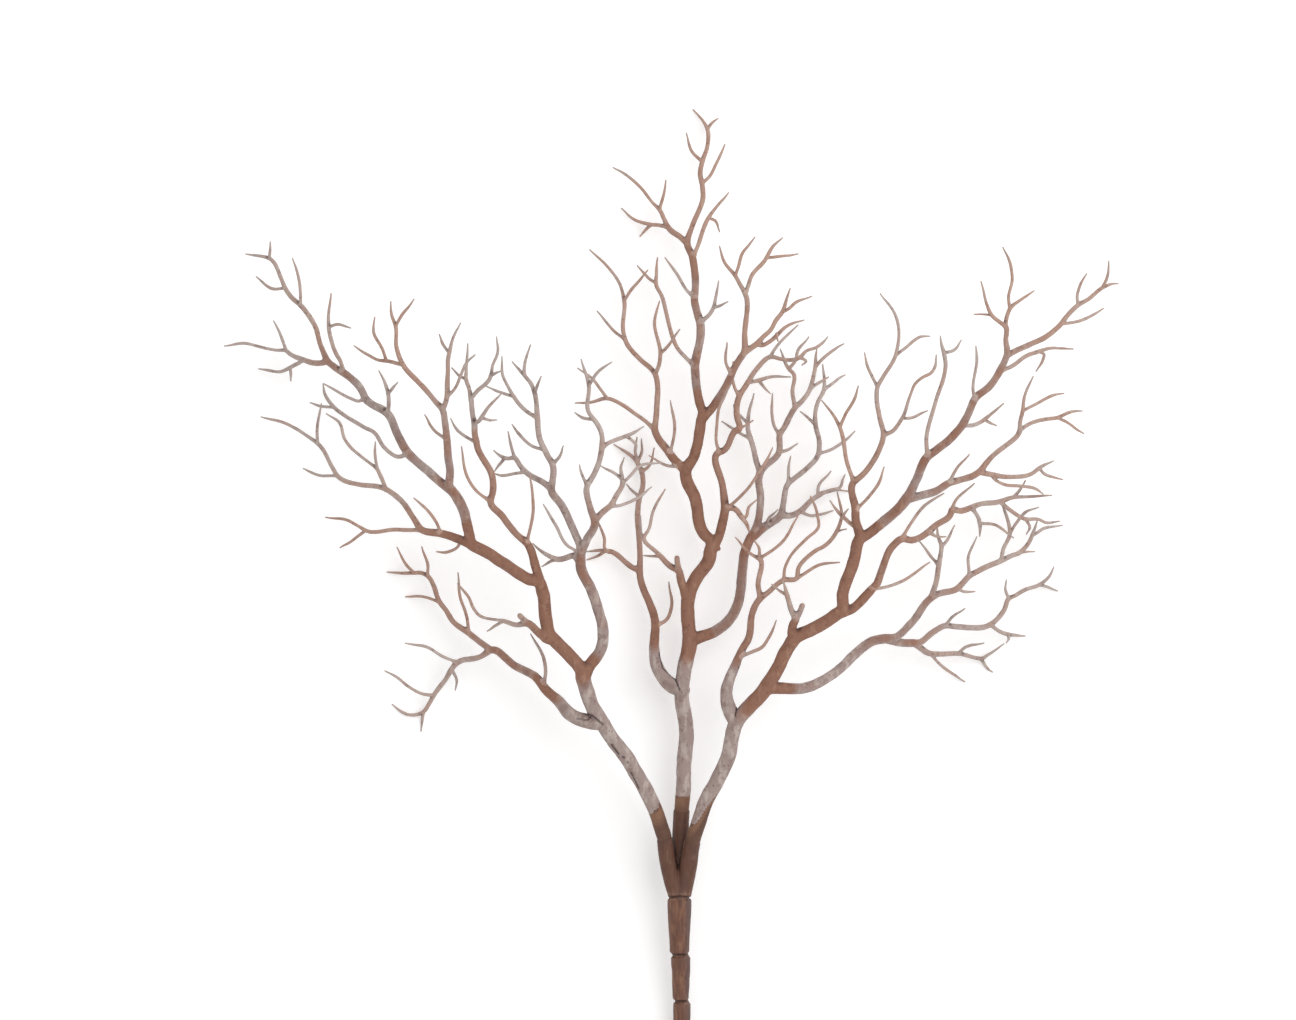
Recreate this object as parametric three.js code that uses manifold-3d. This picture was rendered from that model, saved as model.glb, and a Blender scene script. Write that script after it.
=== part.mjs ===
// Artificial coral spray: a notched push-in stem, a crown of three sockets and three copies
// of one branching plastic stalk, lying on its back. Millimetres, +X right, +Y from the cut
// end of the stem to the tips, +Z up from the surface it lies on.
import * as THREE from 'three';
import Module from 'manifold-3d';
import { mergeVertices } from 'three/addons/utils/BufferGeometryUtils.js';

const wasm = await Module();
wasm.setup();

// Driving dimensions
const LIMB_RADIUS = 0.58;       // radius of a limb that carries one tip
const LIMB_POWER = 0.38;        // how a limb's radius grows with the tips it carries
const STOUTEST = 2.75;          // and where that stops
const FORK_SWELL = 0.5;         // how far a side limb starts towards its parent's radius
const FORK_RUN = 25;            // how far along it that fades out
const TIP_RADIUS = 0.42;        // radius at the end of a twig
const PEG_RADIUS = 1.05;        // blunt moulding pegs beside each stalk's first fork
const JOINT_GAP = 0.3;          // clearance between neighbouring sections
const JOINT_REACH = 12;         // how far from a joint its neighbours are cleared
const TAKE_OFF = 0.9;           // how far back a twig leaves its limb, per mm of offset
const ROOT_RUN = 3;             // a section runs this far before its own first fork
const STRAIGHT = 1.4;           // bends smaller than this are left out
const FORK_STRAIGHT = 0.8;      // the same at a fork, as a share of the limb's radius
const PLUG_SWELL = 0.5;         // how much stouter a plugged-in side branch is at its plug
const PLUG_RUN = 45;            // how far along it that fades out
const STEM_END_HEIGHT = 2.65;   // stem axis above the surface at its cut end
const STEM_TOP_HEIGHT = 14;     // stem axis above the surface under the crown
const STEM_LENGTH = 77;

// Break-off segments of the stem: from y, radius there, to y, radius there, axis x
const STEM_SEGMENTS = [
  [0, 2.6, 20, 3.0, 0.8],
  [20.5, 2.7, 38.4, 3.15, 0.75],
  [39.2, 2.85, 55.1, 3.45, 0.42],
  [56.2, 3.5, 75.9, 4.35, -0.1],
];
const STEM_NECK_RADIUS = 2.2;

// Sockets of the crown: foot x, foot height, mid x, lip x, lip y, lip height, lip radius
const SOCKETS = [
  [-1.9, 14.6, -4.15, -5.45, 97.9, 19.2, 2.9],
  [1.7, 14.6, 3.05, 4.6, 96.7, 19.2, 3.05],
  [0.1, 13.2, 0.3, 0.65, 107.9, 13.4, 3.0],
];
const CROWN_FOOT = 77.6;
const CROWN_FOOT_RADIUS = 3.1;

// Colours by part: moulded brown, painted grey, bare foot
const BROWN = 0x6e5044;
const GREY = 0xa08b80;
const TAN = 0x9a7a68;

// Each section: name, the section it grows from (or the height of a stalk's foot), and its
// limbs. Each limb: the height of its end, then the x, y of the points along it. A limb
// starts on the nearest limb before it, and a stalk's first point is its foot.
const SECTIONS = [
  // left stalk
  ["left_stalk", 20, [[24, -5.6,98.4, -9,109, -13.5,118], [31, -20,128, -27,138, -31,144],
    [36, -33.5,151.5, -35,158], [38, -40,164, -46.5,171, -48,177], [42, -49,186, -50.5,190.5]]],
  ["left_stub", "left_stalk", [[43, -47.5,169.5, -51,172, -55,175.5, -57.5,178],
    [33, -58.5,174.8, -65.5,176.3, -72.5,178.6], [26, -74.5,181, -76,184.6, -80,189.5],
    [28, -65.5,174.8, -69.3,172.4]]],
  ["left_side", "left_stalk", [[25, -33,140, -38.6,142, -43.7,147.5, -48.2,151.7],
    [19, -51.6,155.6, -58.8,159.8, -67.8,165.4], [30, -48.4,158, -49,162.4, -53.7,171.4],
    [11, -71.6,163.3, -80,161], [6, -82.3,158.6, -84.4,155.2, -88.7,149.2],
    [2, -90.4,146.2, -92.5,143.2], [0, -97.2,142, -100.2,143, -103.8,145.8],
    [14, -83.5,162.4, -91.7,166.7, -99,168], [4, -80.6,155, -81,151],
    [10, -91.2,149.4, -98,152.4, -102,155.6, -106.4,158], [0, -93,140.6, -93.4,136.2]]],
  ["left_side_out", "left_side", [[14, -73,169.2, -81,174.8], [10, -84.4,180, -86.5,182.7],
    [7, -89,189, -91,192], [12, -76.3,173.5, -77.4,179.5, -79,184, -80,193.4],
    [0, -92.5,184.6, -99,184.7],
    [18, -91,196, -93,202.8], [3, -94,193.3, -100,193], [0, -105.6,193.6],
    [9, -99,196.4, -102,202.6]]],
  ["left_low", "left_stalk", [[42, -33,159.5, -28.8,165.4, -27.7,169.2, -27.7,173, -29.7,180.7],
    [49, -32.2,188.3, -35.6,196.4, -36,202.8], [42, -38,199.6, -40,199, -45,198.3],
    [44, -48,199.8, -52.8,204], [34, -47.3,197.2, -49.6,195.7],
    [60, -37.8,201.2, -40,202.8, -44.7,211, -49,218]]],
  ["left_low_left", "left_low", [[52, -37.3,207, -40,212.6, -42.6,218, -46,223.3],
    [50, -45.6,226.7, -45.6,232.6], [48, -47.3,235.2, -50.2,241.6, -51,249],
    [46, -51.5,253.7, -52.2,258], [44, -54,262.2, -55.6,264], [42, -55.8,268, -53.7,275.4],
    [38, -57.5,266, -60.3,269.4], [56, -43.4,234.8, -41.9,239],
    [40, -52.8,239, -58,243.7, -60.3,246.8], [40, -53.7,250.7, -59.2,256.6],
    [36, -61.3,260, -63.5,264.3, -64,271.2], [32, -64,258, -70,260.7], [52, -51,261, -49.8,264]]],
  ["left_low_side", "left_low_left", [[44, -48.5,225.4, -55,229.7], [38, -57.5,232.2, -59.4,234.8],
    [32, -60.5,238.2, -61.8,244.2], [37, -59.2,229.2, -63.5,228.6, -67,229.2],
    [34, -61.8,234.6, -63,234.8], [30, -65.2,236, -67,237.5], [28, -64.8,232.2, -66.7,230]]],
  ["left_low_right", "left_low", [[56, -33.5,205.3, -30.6,212], [60, -31.8,216.4, -33.3,225],
    [62, -31.5,228, -28,238.2], [64, -28,241.6, -30,247.3, -32.2,250.5],
    [67, -32.8,260.5, -35.4,270], [66, -35,228.4, -36,232.2], [59, -25.8,240, -19.4,242.5],
    [57, -16.4,243.8, -13,246], [53, -17.3,241, -16,239.5, -15.8,236.5],
    [58, -34.7,249.2, -37.7,251], [72, -29.2,265.6, -24.5,269],
    [55, -27.5,215.6, -25,217.5], [52, -22.8,221.5, -20.7,225.4],
    [46, -18,228.4, -15,231.4, -6.6,233], [46, -22,217.3, -15.5,220.3, -10.2,224.3],
    [60, -21,231, -20,234.8], [57, -22.4,228.4, -29,232.2]]],
  ["left_bough", "left_stalk", [[46, -53.7,191.2, -63.5,197.2, -73.3,202.8],
    [42, -78.4,205.3, -86,207.5, -93,208.9], [32, -81,202, -84,201, -87.6,201],
    [54, -87.4,211.7, -90,215.2, -95.5,220.3], [30, -100.6,208.8, -113,208.8],
    [20, -115.7,210.2, -119.5,212.2, -127.6,213.4], [16, -115,207, -122.5,202.4]]],
  ["left_bough_out", "left_bough", [[42, -95.5,212.6, -99.7,219, -105.8,223.7],
    [33, -115.7,225.2, -123.3,228.4], [27, -125,231, -130.4,240],
    [12, -135.3,243.4, -144,248, -151,249.6], [18, -127.6,228.2, -135.7,231],
    [34, -130.6,244.3, -129,254.3], [46, -107.6,228.8, -108.8,231],
    [40, -111.4,233, -118.6,238.6], [36, -120.4,241.2, -123,247.7, -127.2,250.7],
    [56, -109.5,235.2, -109.3,240.5]]],
  ["left_riser", "left_bough", [[56, -75.8,208, -78.4,217.3, -83,224], [63, -82.7,231, -83.5,239.5],
    [68, -84.6,248.5, -85,252], [71, -83.5,256.6], [74, -83,265, -83,270.7],
    [76, -81.8,275.8, -78.6,283], [66, -84.8,275.4, -86.3,279],
    [79, -81,258.8, -78.4,264.3], [84, -76.3,268.6, -73.3,271.6],
    [56, -87,243.8, -91.6,250.2]]],
  ["left_riser_out", "left_riser", [[64, -87.8,255, -94.6,262.6, -99.3,268.2],
    [66, -102,274.6, -102,281.8], [64, -103.4,285.7, -103.7,290.8],
    [72, -99.7,285.7, -95.3,291.6], [56, -101.8,268.6, -105.4,269.7],
    [50, -108.8,270.3, -112.2,272, -117,275], [60, -106.7,273.3, -110,280, -109.5,285.2]]],
  ["left_leader", "left_riser", [[52, -85.7,225.8, -92.5,231.8, -97.6,236.5],
    [48, -101.4,243.3, -105,250.5], [42, -110.5,254, -113,256.2],
    [42, -100.6,235.2, -106.3,238.6, -110.3,244.2], [30, -114,246, -120.4,250, -124.4,253],
    [24, -127.8,258.8, -128.5,261.5], [18, -129,253.4, -133.2,254.7],
    [56, -104.6,254, -104.6,258], [60, -105.8,261.8, -108,266], [62, -102.5,260.3, -101.2,261.8],
    [36, -115.5,255.2, -118.2,256.2, -128.2,261.5]]],
  ["left_leader_out", "left_leader", [[37, -114.4,258.8, -120.4,265.2], [32, -124.2,267.3, -126.8,269.4],
    [27, -129.3,275.4, -131,281.4, -136.6,289.3],
    [22, -139,291.6, -142,296], [15, -143.4,299.3, -148,306.4], [9, -151.5,307.7, -156.6,308.4],
    [18, -147.8,309.5, -147.6,312.7], [9, -147.2,296, -152.8,300.2],
    [34, -136.6,293.3, -137,297.6, -139.4,306.6],
    [45, -122,269, -123.8,272.4, -126,281.8],
    [49, -126.3,285.7, -125.3,293.8], [54, -123.3,282.7, -118.2,281.4]]],
  ["left_leader_arm", "left_leader_out", [[25, -129,269, -135.3,270], [17, -140.4,272.4, -142,273.7],
    [8, -145.5,273.7, -157.5,276, -164.3,275.2], [20, -143.4,277.5, -146.4,284.2],
    [11, -138.7,268.4, -140.4,267.7], [3, -144.7,266, -148,266.2, -152,267],
    [2, -140.5,265.2, -140.4,262.6]]],
  ["left_inner", "left_stalk", [[48, -51.5,194.7, -55,204.5], [57, -58,206.6, -64,214, -68.2,219.4],
    [63, -67.5,222.4, -67.6,228.4, -72.6,238.2], [66, -54,208.3, -52.6,217.3, -53.8,228.2],
    [60, -70.7,221, -76.7,228.8, -78.4,238.8]]],
  ["left_inner_top", "left_inner", [[68, -72.9,240.5, -73.7,244.2, -73.9,246.8],
    [61, -75,241.2, -80,244.6, -82.2,248.8],
    [72, -74.6,250.2, -75,256],
    [73, -75.6,259.6, -76.7,263], [75, -76.5,266.5, -76,275.6],
    [76, -72,248, -71,249], [80, -68.6,252.4, -63.7,258], [70, -69,248.5, -65.6,248.3],
    [80, -72.4,258.8, -68,264], [85, -67.3,267.7, -65.6,272, -65.6,278],
    [88, -66,264.8, -64,265.8], [67, -78.4,263.7, -81.8,267]]],
  // centre stalk
  ["centre_stalk", 14, [[15, .7,108.4, 1.3,113.4, 2.2,130], [16, 2.6,134, 1.2,144, 1,151],
    [17, 1.5,158, 3.6,168.8], [20, 3.6,173, 3,184, 4,187.4],
    [22, 5.8,191.3, 11,199.4, 11.5,204.5]]],
  ["centre_stub", "centre_stalk", [[27, 2,186, 0,192.5, -1,198.7], [22, -3.6,196, -8,200.6, -13,205.8],
    [20, -11.5,208.3, -9.4,216, -5.3,223.5], [14, -13.8,207, -14.2,214], [18, -8,199.4, -13,199.6]]],
  ["centre_side", "centre_stalk", [[13, -2.4,152.6, -7.5,158.6, -9,166.7, -8.7,174.3],
    [10, -10.9,182.5, -14.5,194.2], [7, -5,176.3, -3,181, -3.9,190], [6, -16.4,195, -27,202],
    [3, -27.3,205.3, -29.8,213], [2, -29.2,201.3, -33.9,201], [0, -28.5,200, -33.5,198]]],
  ["centre_side_top", "centre_side", [[8, -14.4,197.7, -14.7,208, -14.5,220.7],
    [6, -13.4,224, -13.6,230], [2, -16.8,222.8, -19.2,225.4], [1, -15.3,233.5, -23.7,239.7],
    [5, -16,237.3, -15.4,242.3], [3, -14,236, -13.8,241.6], [9, -11.5,231.5, -9.2,238.4]]],
  ["centre_low", "centre_stalk", [[16, 5,169.3, 12,172, 17.6,176.4, 20.9,182, 22,188],
    [14, 22.4,192, 23.2,199.8, 26.8,208.3]]],
  ["centre_low_riser", "centre_low", [[17, 28,211.7, 29.2,220, 29,229.5],
    [14, 27.8,233, 26.4,238.2, 25.3,242], [12, 24.7,246], [10, 25.3,252, 26.8,258],
    [7, 22.8,249.2, 20.5,251.5, 19.4,254], [8, 22.8,243.2, 20.5,244.8, 15.2,248]]],
  ["centre_low_crown", "centre_low_riser", [[20, 30.7,231.8, 35.8,237], [14, 38.3,237.5, 42.5,240],
    [22, 36,240, 36,243], [18, 34,246.4, 33.2,250.7, 33.4,258], [24, 37.5,245.6, 41.5,253],
    [26, 40.6,258, 41,265.4], [21, 39.4,267, 36.2,274], [20, 42,270, 42.8,273.3, 46.5,278.4],
    [20, 44,255.4, 47.3,260], [18, 48.6,264.8, 49,267.7], [16, 49,271.6, 49.4,274],
    [13, 51.6,270.7, 54.6,273.3, 59.2,276], [12, 49.4,261.3, 53.7,264]]],
  ["centre_low_arm", "centre_low", [[12, 29.8,209.2, 36.6,214.3], [14, 37.4,217.5, 39.2,226],
    [21, 31.5,212, 35.4,216.2], [9, 39.2,229.7, 40,235.4], [16, 41,227.5, 50,236.3],
    [5, 55.4,238.2, 58,240, 63.3,244.5], [17, 50.4,241, 49,246.8], [16, 45.6,249.8, 43.5,251.5],
    [13, 49,251, 50,255, 52,259.2], [7, 52.3,263, 51.6,268.6], [3, 54,261, 59.7,264.8]]],
  ["centre_low_arm_out", "centre_low_arm", [[10, 38.5,214, 43.3,215.6], [7, 47.7,219.4, 50,221],
    [3, 50,223.7, 54.6,230], [5, 52.4,222.4, 57.8,224], [2, 58.8,226.7, 59.7,228.8],
    [0, 61,222.8], [1, 47.3,214, 50,214.5, 55.4,215.8]]],
  ["centre_bough", "centre_stalk", [[25, 9.2,207, 5.8,219.8, 2.4,230.5], [29, 5,235.2, 7,243, 8,250.7]]],
  ["centre_leader", "centre_bough", [[30, 7,255, 5.4,267.7], [28, 7.5,278, 7.3,283.5],
    [26, 6.4,287, 5.2,292.7], [18, 3.4,294.2, -1,301, -5.3,307],
    [31, 10.5,286.5, 12.2,289], [28, 13,292, 14,298.5],
    [35, 14.3,289.5, 17.3,291]]],
  ["centre_leader_left", "centre_leader", [[23, 2.2,271, 0,273.3, -5.3,288.2], [17, -6.6,293.3, -8.7,298],
    [15, -8.5,301.4, -8,307], [9, -10.5,299, -15.3,304.2]]],
  ["centre_leader_top", "centre_leader", [[22, 5.3,293.8, 5.6,297, 4.7,307], [17, 2.7,312],
    [13, 4.2,317.8, 8,328, 8,334], [9, 7.4,337, 8,341.8], [5, 9.7,346.8, 10,353.6],
    [0, 8.8,356.3, 4.9,360.6], [2, 11.7,355.8, 13.8,357.4], [7, 4.5,345.5, 2.4,352],
    [8, 10,335.5, 13,341, 16.3,348], [20, 6.3,311, 10.4,321.2], [13, 13,324.6, 17.6,330.5],
    [12, 12.4,320.5, 14.4,316.4]]],
  ["centre_leader_fan", "centre_leader_top", [[11, 0,314.8, -4.1,318], [9, -5.7,321, -7.3,324.6],
    [2, -9.4,326.8, -18,336, -24,339.7], [12, -6.4,328.2, -5,335], [7, -7.5,318.7, -10.3,319],
    [1, -15.3,320.5, -21,325], [1, -12.5,317, -14.3,314.8]]],
  ["centre_arm", "centre_bough", [[34, 10.5,251.5, 15.2,258, 18.2,264.3],
    [38, 19.4,267.3, 21.6,270.7, 23,272.3],
    [38, 23.2,280, 23.6,293.8], [41, 17.1,268, 17,276.3]]],
  ["centre_arm_right", "centre_arm", [[36, 25,274, 28,276], [34, 30.2,278.4, 33.2,281.4],
    [32, 34.5,284, 37,287.4], [35, 38.3,291.2, 39.7,295.7], [27, 38.8,288.2, 42.2,290.8, 47.5,293],
    [28, 29,275.3, 32.4,276.5, 38,281.8, 44.7,284.4], [39, 34.9,279.5, 35.3,276.8]]],
  ["centre_arm_top", "centre_arm", [[36, 21,298, 19.8,300], [31, 15.7,305.7, 14.3,311],
    [37, 21.3,304, 22.4,308.3, 27,314.2], [33, 24.7,296.7, 26,300.5, 30.8,306.7],
    [30, 34.5,312, 37,314], [23, 34.5,307.2, 42.6,308.3]]],
  ["centre_left", "centre_bough", [[22, -0.2,232.4, -2.8,235.2, -8,242, -9,245],
    [23, -1.2,232, -3.6,231.8, -11,235.6], [31, -2.6,241.5, -2,247.7, -3.4,255.4],
    [14, -13.8,249.2, -20.2,253.7, -26,256],
    [22, -8.7,248.5, -8,260.5, -9,264.8], [17, -14.3,270.3, -19.8,277.5], [7, -31,255.1, -37.7,254.6],
    [11, -28,259, -31,263, -36.8,267.2], [28, -8,267, -7,272.4], [31, -9.2,284, -7.3,291.2],
    [36, -5.3,274, 0,281],
    [13, -20.5,280, -20,291.6], [5, -21,295.5, -25,302.7, -32.5,310],
    [21, -16.8,296, -11.5,302.5], [7, -22.8,280, -29.8,287.8]]],
  ["centre_right", "centre_stalk", [[27, 14.3,208, 16.2,216, 15.4,224.5, 14.2,237],
    [36, 18.6,218, 28,228.5],
    [35, 31,233.5, 33.4,238.4], [27, 19.8,216.4, 23.3,212], [22, 24.3,210.5, 25,208],
    [25, 23.6,213.4, 25,217, 27.8,219.8], [41, 13.3,240, 13.3,247, 14,252, 17.3,259.3],
    [30, 15.6,237.5, 20.2,244.8], [24, 21.5,245.3, 26.4,248.3], [30, 20.6,250, 21.5,257]]],
  ["centre_right_top", "centre_right", [[28, 22.6,259, 24.6,262], [27, 27.3,266, 32.4,271],
    [25, 19.9,259.5, 19,262, 19.2,269.4], [23, 28.5,262.6], [19, 33,263.7, 40,264],
    [24, 30.7,260, 32.6,258], [22, 34.5,274, 42.6,282.7], [33, 37,270.3, 43,271],
    [30, 45.6,273.3, 49.4,274.6], [26, 51.6,276.3, 53.3,278.4], [31, 45.6,269.5, 44,268.2]]],
  // right stalk
  ["right_stalk", 20, [[24, 4.8,97.2, 10,111.6, 15.2,122], [31, 18.7,132.6, 20.4,139.5],
    [35, 25,145.3, 31,152, 33.3,155.6], [38, 39.6,167.5, 41.3,170], [42, 47.3,173, 54,176.5, 58.4,180]]],
  ["right_stub", "right_stalk", [[46, 40.4,172, 40.9,175.2, 44,181.6],
    [51, 40,180.3, 39.2,183.7, 37.1,190.4],
    [45, 37,186.3, 33,189.3]]],
  ["right_side", "right_stalk", [[31, 18.7,142.8, 17,149, 18.7,156.4, 22.5,166],
    [37, 25.5,164.7, 30.2,167, 32,169.7, 34.7,176.3], [33, 23.8,168.4, 29,184]]],
  ["right_side_top", "right_side", [[34, 28.3,188.3, 28.6,198.5], [31, 26.4,199.8, 20,206.2],
    [38, 28.5,202, 26.8,205], [36, 31,200.2, 37,205, 42.6,214], [36, 31.5,186, 37.5,191],
    [45, 37.7,195, 38.8,198, 45,205.5], [31, 42.2,191.5, 50.7,196.4, 57.5,197.2],
    [36, 43,195.5, 49,201.5], [31, 50,210, 49.4,215.2, 47,221], [34, 51.6,202.8, 56.5,208.3],
    [33, 58.4,214, 56.7,222.4], [32, 60,209.2]]],
  ["right_low", "right_stalk", [[28, 36,152, 44,151.7, 52.4,155, 56.7,158],
    [22, 63,164, 69.5,168.8, 78,170.4]]],
  ["right_low_riser", "right_low", [[24, 83.3,175.2, 90.6,184.5], [26, 92.8,192.5, 93.2,196.2],
    [21, 90.7,199, 86.2,205], [27, 93.9,200.2, 94.3,202.8], [25, 93.2,206.2, 92.6,211],
    [24, 95.8,204.5, 99,210.5]]],
  ["right_low_mid", "right_low_riser", [[20, 92.8,185.7, 100,187.7], [10, 102.5,186.5, 106.5,186.6],
    [18, 102.2,190, 104.4,192.4], [26, 104,199, 107,206.4], [14, 107.3,193.8, 116,197.6],
    [16, 116.7,202, 119,207.5], [17, 117.8,214.7, 115.6,219.5], [11, 122.7,213, 124.8,215.2, 129.5,217],
    [9, 120,199.6, 122.7,200.6], [3, 128.2,201], [8, 126.5,205.3], [11, 128.2,210, 129,212.2],
    [3, 128.5,207.5, 131.6,209.4, 138.2,210.5]]],
  ["right_low_out", "right_low", [[17, 82,168, 86.5,168.2], [15, 91,171.8, 96,174.3],
    [24, 97.3,176.5, 102.7,180.5],
    [11, 99,174, 111.8,174.8], [10, 117,180, 118.8,184], [14, 117.8,187, 117.8,190.8],
    [5, 121,185, 124.4,187, 130,189], [8, 133.8,193, 135,195.5], [0, 133,188.3, 136.5,186.8],
    [5, 115.7,172, 118.7,171], [0, 124.8,170.5], [10, 118.7,169.2, 117.8,168]]],
  ["right_low_tips", "right_low_out", [[11, 87.5,165.8, 90.5,164.3], [7, 94.3,164, 100.7,164.2],
    [2, 106.7,162.4, 109,162], [12, 102.4,165.8, 105.4,167, 109.7,168], [6, 111.4,163.5, 117,167.7],
    [0, 111.4,158.6, 113,157.5], [0, 92,162.4, 97,157.7, 103,154]]],
  ["right_inner", "right_stalk", [[46, 58.8,186, 63,198.5, 65,206],
    [51, 63.5,212, 62.5,226], [57, 66.9,219.8, 71.2,225.8, 73.3,231.4],
    [43, 60.5,211.6, 58.4,213.4, 54,219.4], [48, 59,214.6, 60.5,216.4], [53, 60,233, 57.5,246],
    [46, 55.4,249.8, 51,255.4], [60, 59.2,249.4, 63,256.6, 64,260.5]]],
  ["right_inner_mid", "right_inner", [[56, 64.4,227.5, 71.6,237.3, 73.2,243],
    [62, 71.8,249, 70.8,257, 71,260],
    [59, 69.5,263, 67.4,267.7, 66.3,272.4], [66, 72.5,263, 77.6,271.6],
    [72, 78.7,278.4, 77.6,285, 71.8,293.5], [60, 80.6,274, 86.5,278, 89.7,278.4]]],
  ["right_inner_arm", "right_inner_mid", [[58, 76.3,244.3, 79.7,249],
    [64, 82.3,257, 84.4,261.3, 87,263.5],
    [63, 90,265.2, 91.2,267.3, 92,271.6], [48, 82.3,249, 89,251.7]]],
  ["right_main", "right_inner", [[48, 67,207, 73.3,211.7, 81.5,220], [51, 84.7,226.7, 89,235],
    [59, 88.6,242, 91.7,255, 95.3,268], [66, 94.6,272.4, 93.4,278.4], [56, 98,273.3, 101,277]]],
  ["right_main_out", "right_main", [[50, 92,237.3, 98,242.5, 101.5,246.5], [39, 104.4,246.6, 109.6,248.5],
    [41, 112,250.7, 116.4,254.3], [33, 111.7,247.5, 114,246.4], [50, 103.2,250, 106,255.8],
    [47, 111.3,260.5, 115,266], [61, 105.3,258.8, 106.6,270.7, 106.2,274.8],
    [37, 118.5,267.3, 126,272, 129.6,273], [30, 133.5,274, 141.6,274],
    [31, 131,272, 130.5,270, 128.3,266]]],
  ["right_main_top", "right_main_out", [[47, 116.2,268.2, 117.5,271.5], [54, 117,277, 116.8,281.8],
    [58, 115,283.5, 112,286], [63, 110,290, 108,298], [54, 105.7,286.3], [53, 117.2,284.5, 118.5,288.2],
    [45, 122,291.2, 127.3,294.8], [52, 118,292.5, 119.2,299, 118.5,304, 116,310.4]]],
  ["right_main_leader", "right_main_top", [[40, 120.7,273.3, 131,278, 137,283],
    [30, 142,283.5, 146.3,284.8, 152.5,288.6],
    [36, 139,285.7, 143.4,289.9], [41, 142.9,292.5, 143.8,296.7, 146.3,301],
    [28, 146.8,291.6, 152.3,296.3],
    [22, 154.9,297.4, 158,297.6], [33, 153.4,298.9, 154.4,305.6]]],
  ["right_main_low", "right_main", [[44, 85,220.7, 92,222.8, 97,226], [51, 98.3,228.8, 104,236],
    [40, 99.6,226.7, 107.5,229.7], [37, 112.4,235.2, 122.3,244.8],
    [29, 110.7,229, 117.5,228.2, 127.4,229.4],
    [27, 129.5,231, 134.6,233.7], [18, 131.2,229.2, 138,227], [32, 113.5,227, 116.3,225.4, 122.7,224.7],
    [28, 128.6,223.3, 130.8,221.8]]],
  ["right_main_low_tips", "right_main_low", [[42, 122.4,248, 123,251.5], [45, 123.4,255.4, 127,264],
    [32, 126.6,253.2, 134,257.5, 138.2,258], [27, 125,246.4, 132.6,249.2, 135.8,249.4],
    [21, 141.6,251.7, 145,251.7], [13, 138.7,248, 145.7,243.6]]],
  ["right_outer", "right_stalk", [[40, 61,180.3, 66.7,185, 70.8,189.6],
    [38, 72,193, 76.7,202.8, 80,205.8],
    [30, 73.3,188, 79.7,190.4, 90,197.2], [34, 82.6,210.5, 88,217.7, 95,222],
    [33, 83.4,205.3, 89.4,208.3], [33, 92.4,206.6, 95.8,206.4], [31, 92,210.5, 97.6,214.5],
    [34, 98,216, 98.8,218.6, 106,225.6]]],
  ["right_outer_out", "right_outer", [[28, 101.3,215.8, 105,216.9], [25, 107.3,214],
    [13, 108,211.3, 108.2,206.6],
    [24, 113.3,210.5, 120.3,206], [25, 108.2,218, 115.4,219], [21, 120,220.5, 124.8,221, 134,221.3],
    [20, 122.7,223.3, 124.6,226.7], [23, 119.2,216, 124.4,213], [18, 130,212.6, 132,211.5, 137,212],
    [17, 126,209.2, 125,207.3]]],
];

function stemHeight(y) {
  const rise = (STEM_TOP_HEIGHT - STEM_END_HEIGHT) / STEM_LENGTH;
  return STEM_END_HEIGHT + rise * y;
}

// Finds where a limb that starts towards (x, y) leaves the given knots
function takeOff(knots, x, y, joint) {
  let best = null;
  for (const knot of knots) {
    if (!knot.up) {
      continue;
    }
    const from = knot.up.at;
    const dx = knot.at.x - from.x;
    const dy = knot.at.y - from.y;
    const length = Math.hypot(dx, dy);
    const along = THREE.MathUtils.clamp(((x - from.x) * dx + (y - from.y) * dy) / length, 0, length);
    const away = Math.hypot(from.x + dx * along / length - x, from.y + dy * along / length - y);
    if (!best || away < best.away - 1e-6) {
      best = { knot, along, away, length };
    }
  }
  const { knot, along, away, length } = best;
  if (along > length - 0.05 && !knot.kids.length) {
    return knot;
  }
  let start = along - TAKE_OFF * away;
  if (knot.up === joint) {
    start = Math.max(start, Math.min(ROOT_RUN, length * 0.6));
  }
  if (start < 0.8) {
    return knot.up;
  }
  if (start > length - 0.8) {
    return knot;
  }
  const middle = {
    at: knot.up.at.clone().lerp(knot.at, start / length),
    up: knot.up,
    kids: [knot],
    section: knot.section,
  };
  knot.up.kids.splice(knot.up.kids.indexOf(knot), 1, middle);
  knot.up = middle;
  knots.push(middle);
  return middle;
}

// Adds a limb's knots, its height running evenly from where it starts to its end
function addLimb(knots, start, limb, section) {
  const points = [];
  for (let i = 1; i < limb.length; i += 2) {
    points.push(new THREE.Vector2(limb[i], limb[i + 1]));
  }
  const marks = [0];
  let last = new THREE.Vector2(start.at.x, start.at.y);
  for (const point of points) {
    marks.push(marks[marks.length - 1] + last.distanceTo(point));
    last = point;
  }
  const total = marks[marks.length - 1];
  let knot = start;
  points.forEach((point, i) => {
    const height = THREE.MathUtils.lerp(start.at.z, limb[0], marks[i + 1] / total);
    const at = new THREE.Vector3(point.x, point.y, height);
    const next = { at, up: knot, kids: [], section };
    knot.kids.push(next);
    knots.push(next);
    knot = next;
  });
}

function growAll() {
  const grown = new Map();
  for (const [name, from, limbs] of SECTIONS) {
    const knots = [];
    let joint = null;
    limbs.forEach((limb, i) => {
      if (i > 0) {
        addLimb(knots, takeOff(knots, limb[1], limb[2], joint), limb, name);
        return;
      }
      if (typeof from === 'number') {
        const at = new THREE.Vector3(limb[1], limb[2], from);
        joint = { at, up: null, kids: [], section: name };
        knots.push(joint);
        addLimb(knots, joint, [limb[0], ...limb.slice(3)], name);
        return;
      }
      joint = takeOff(grown.get(from).knots, limb[1], limb[2], grown.get(from).joint);
      addLimb(knots, joint, limb, name);
    });
    grown.set(name, { knots, joint, from });
  }
  return grown;
}

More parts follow.
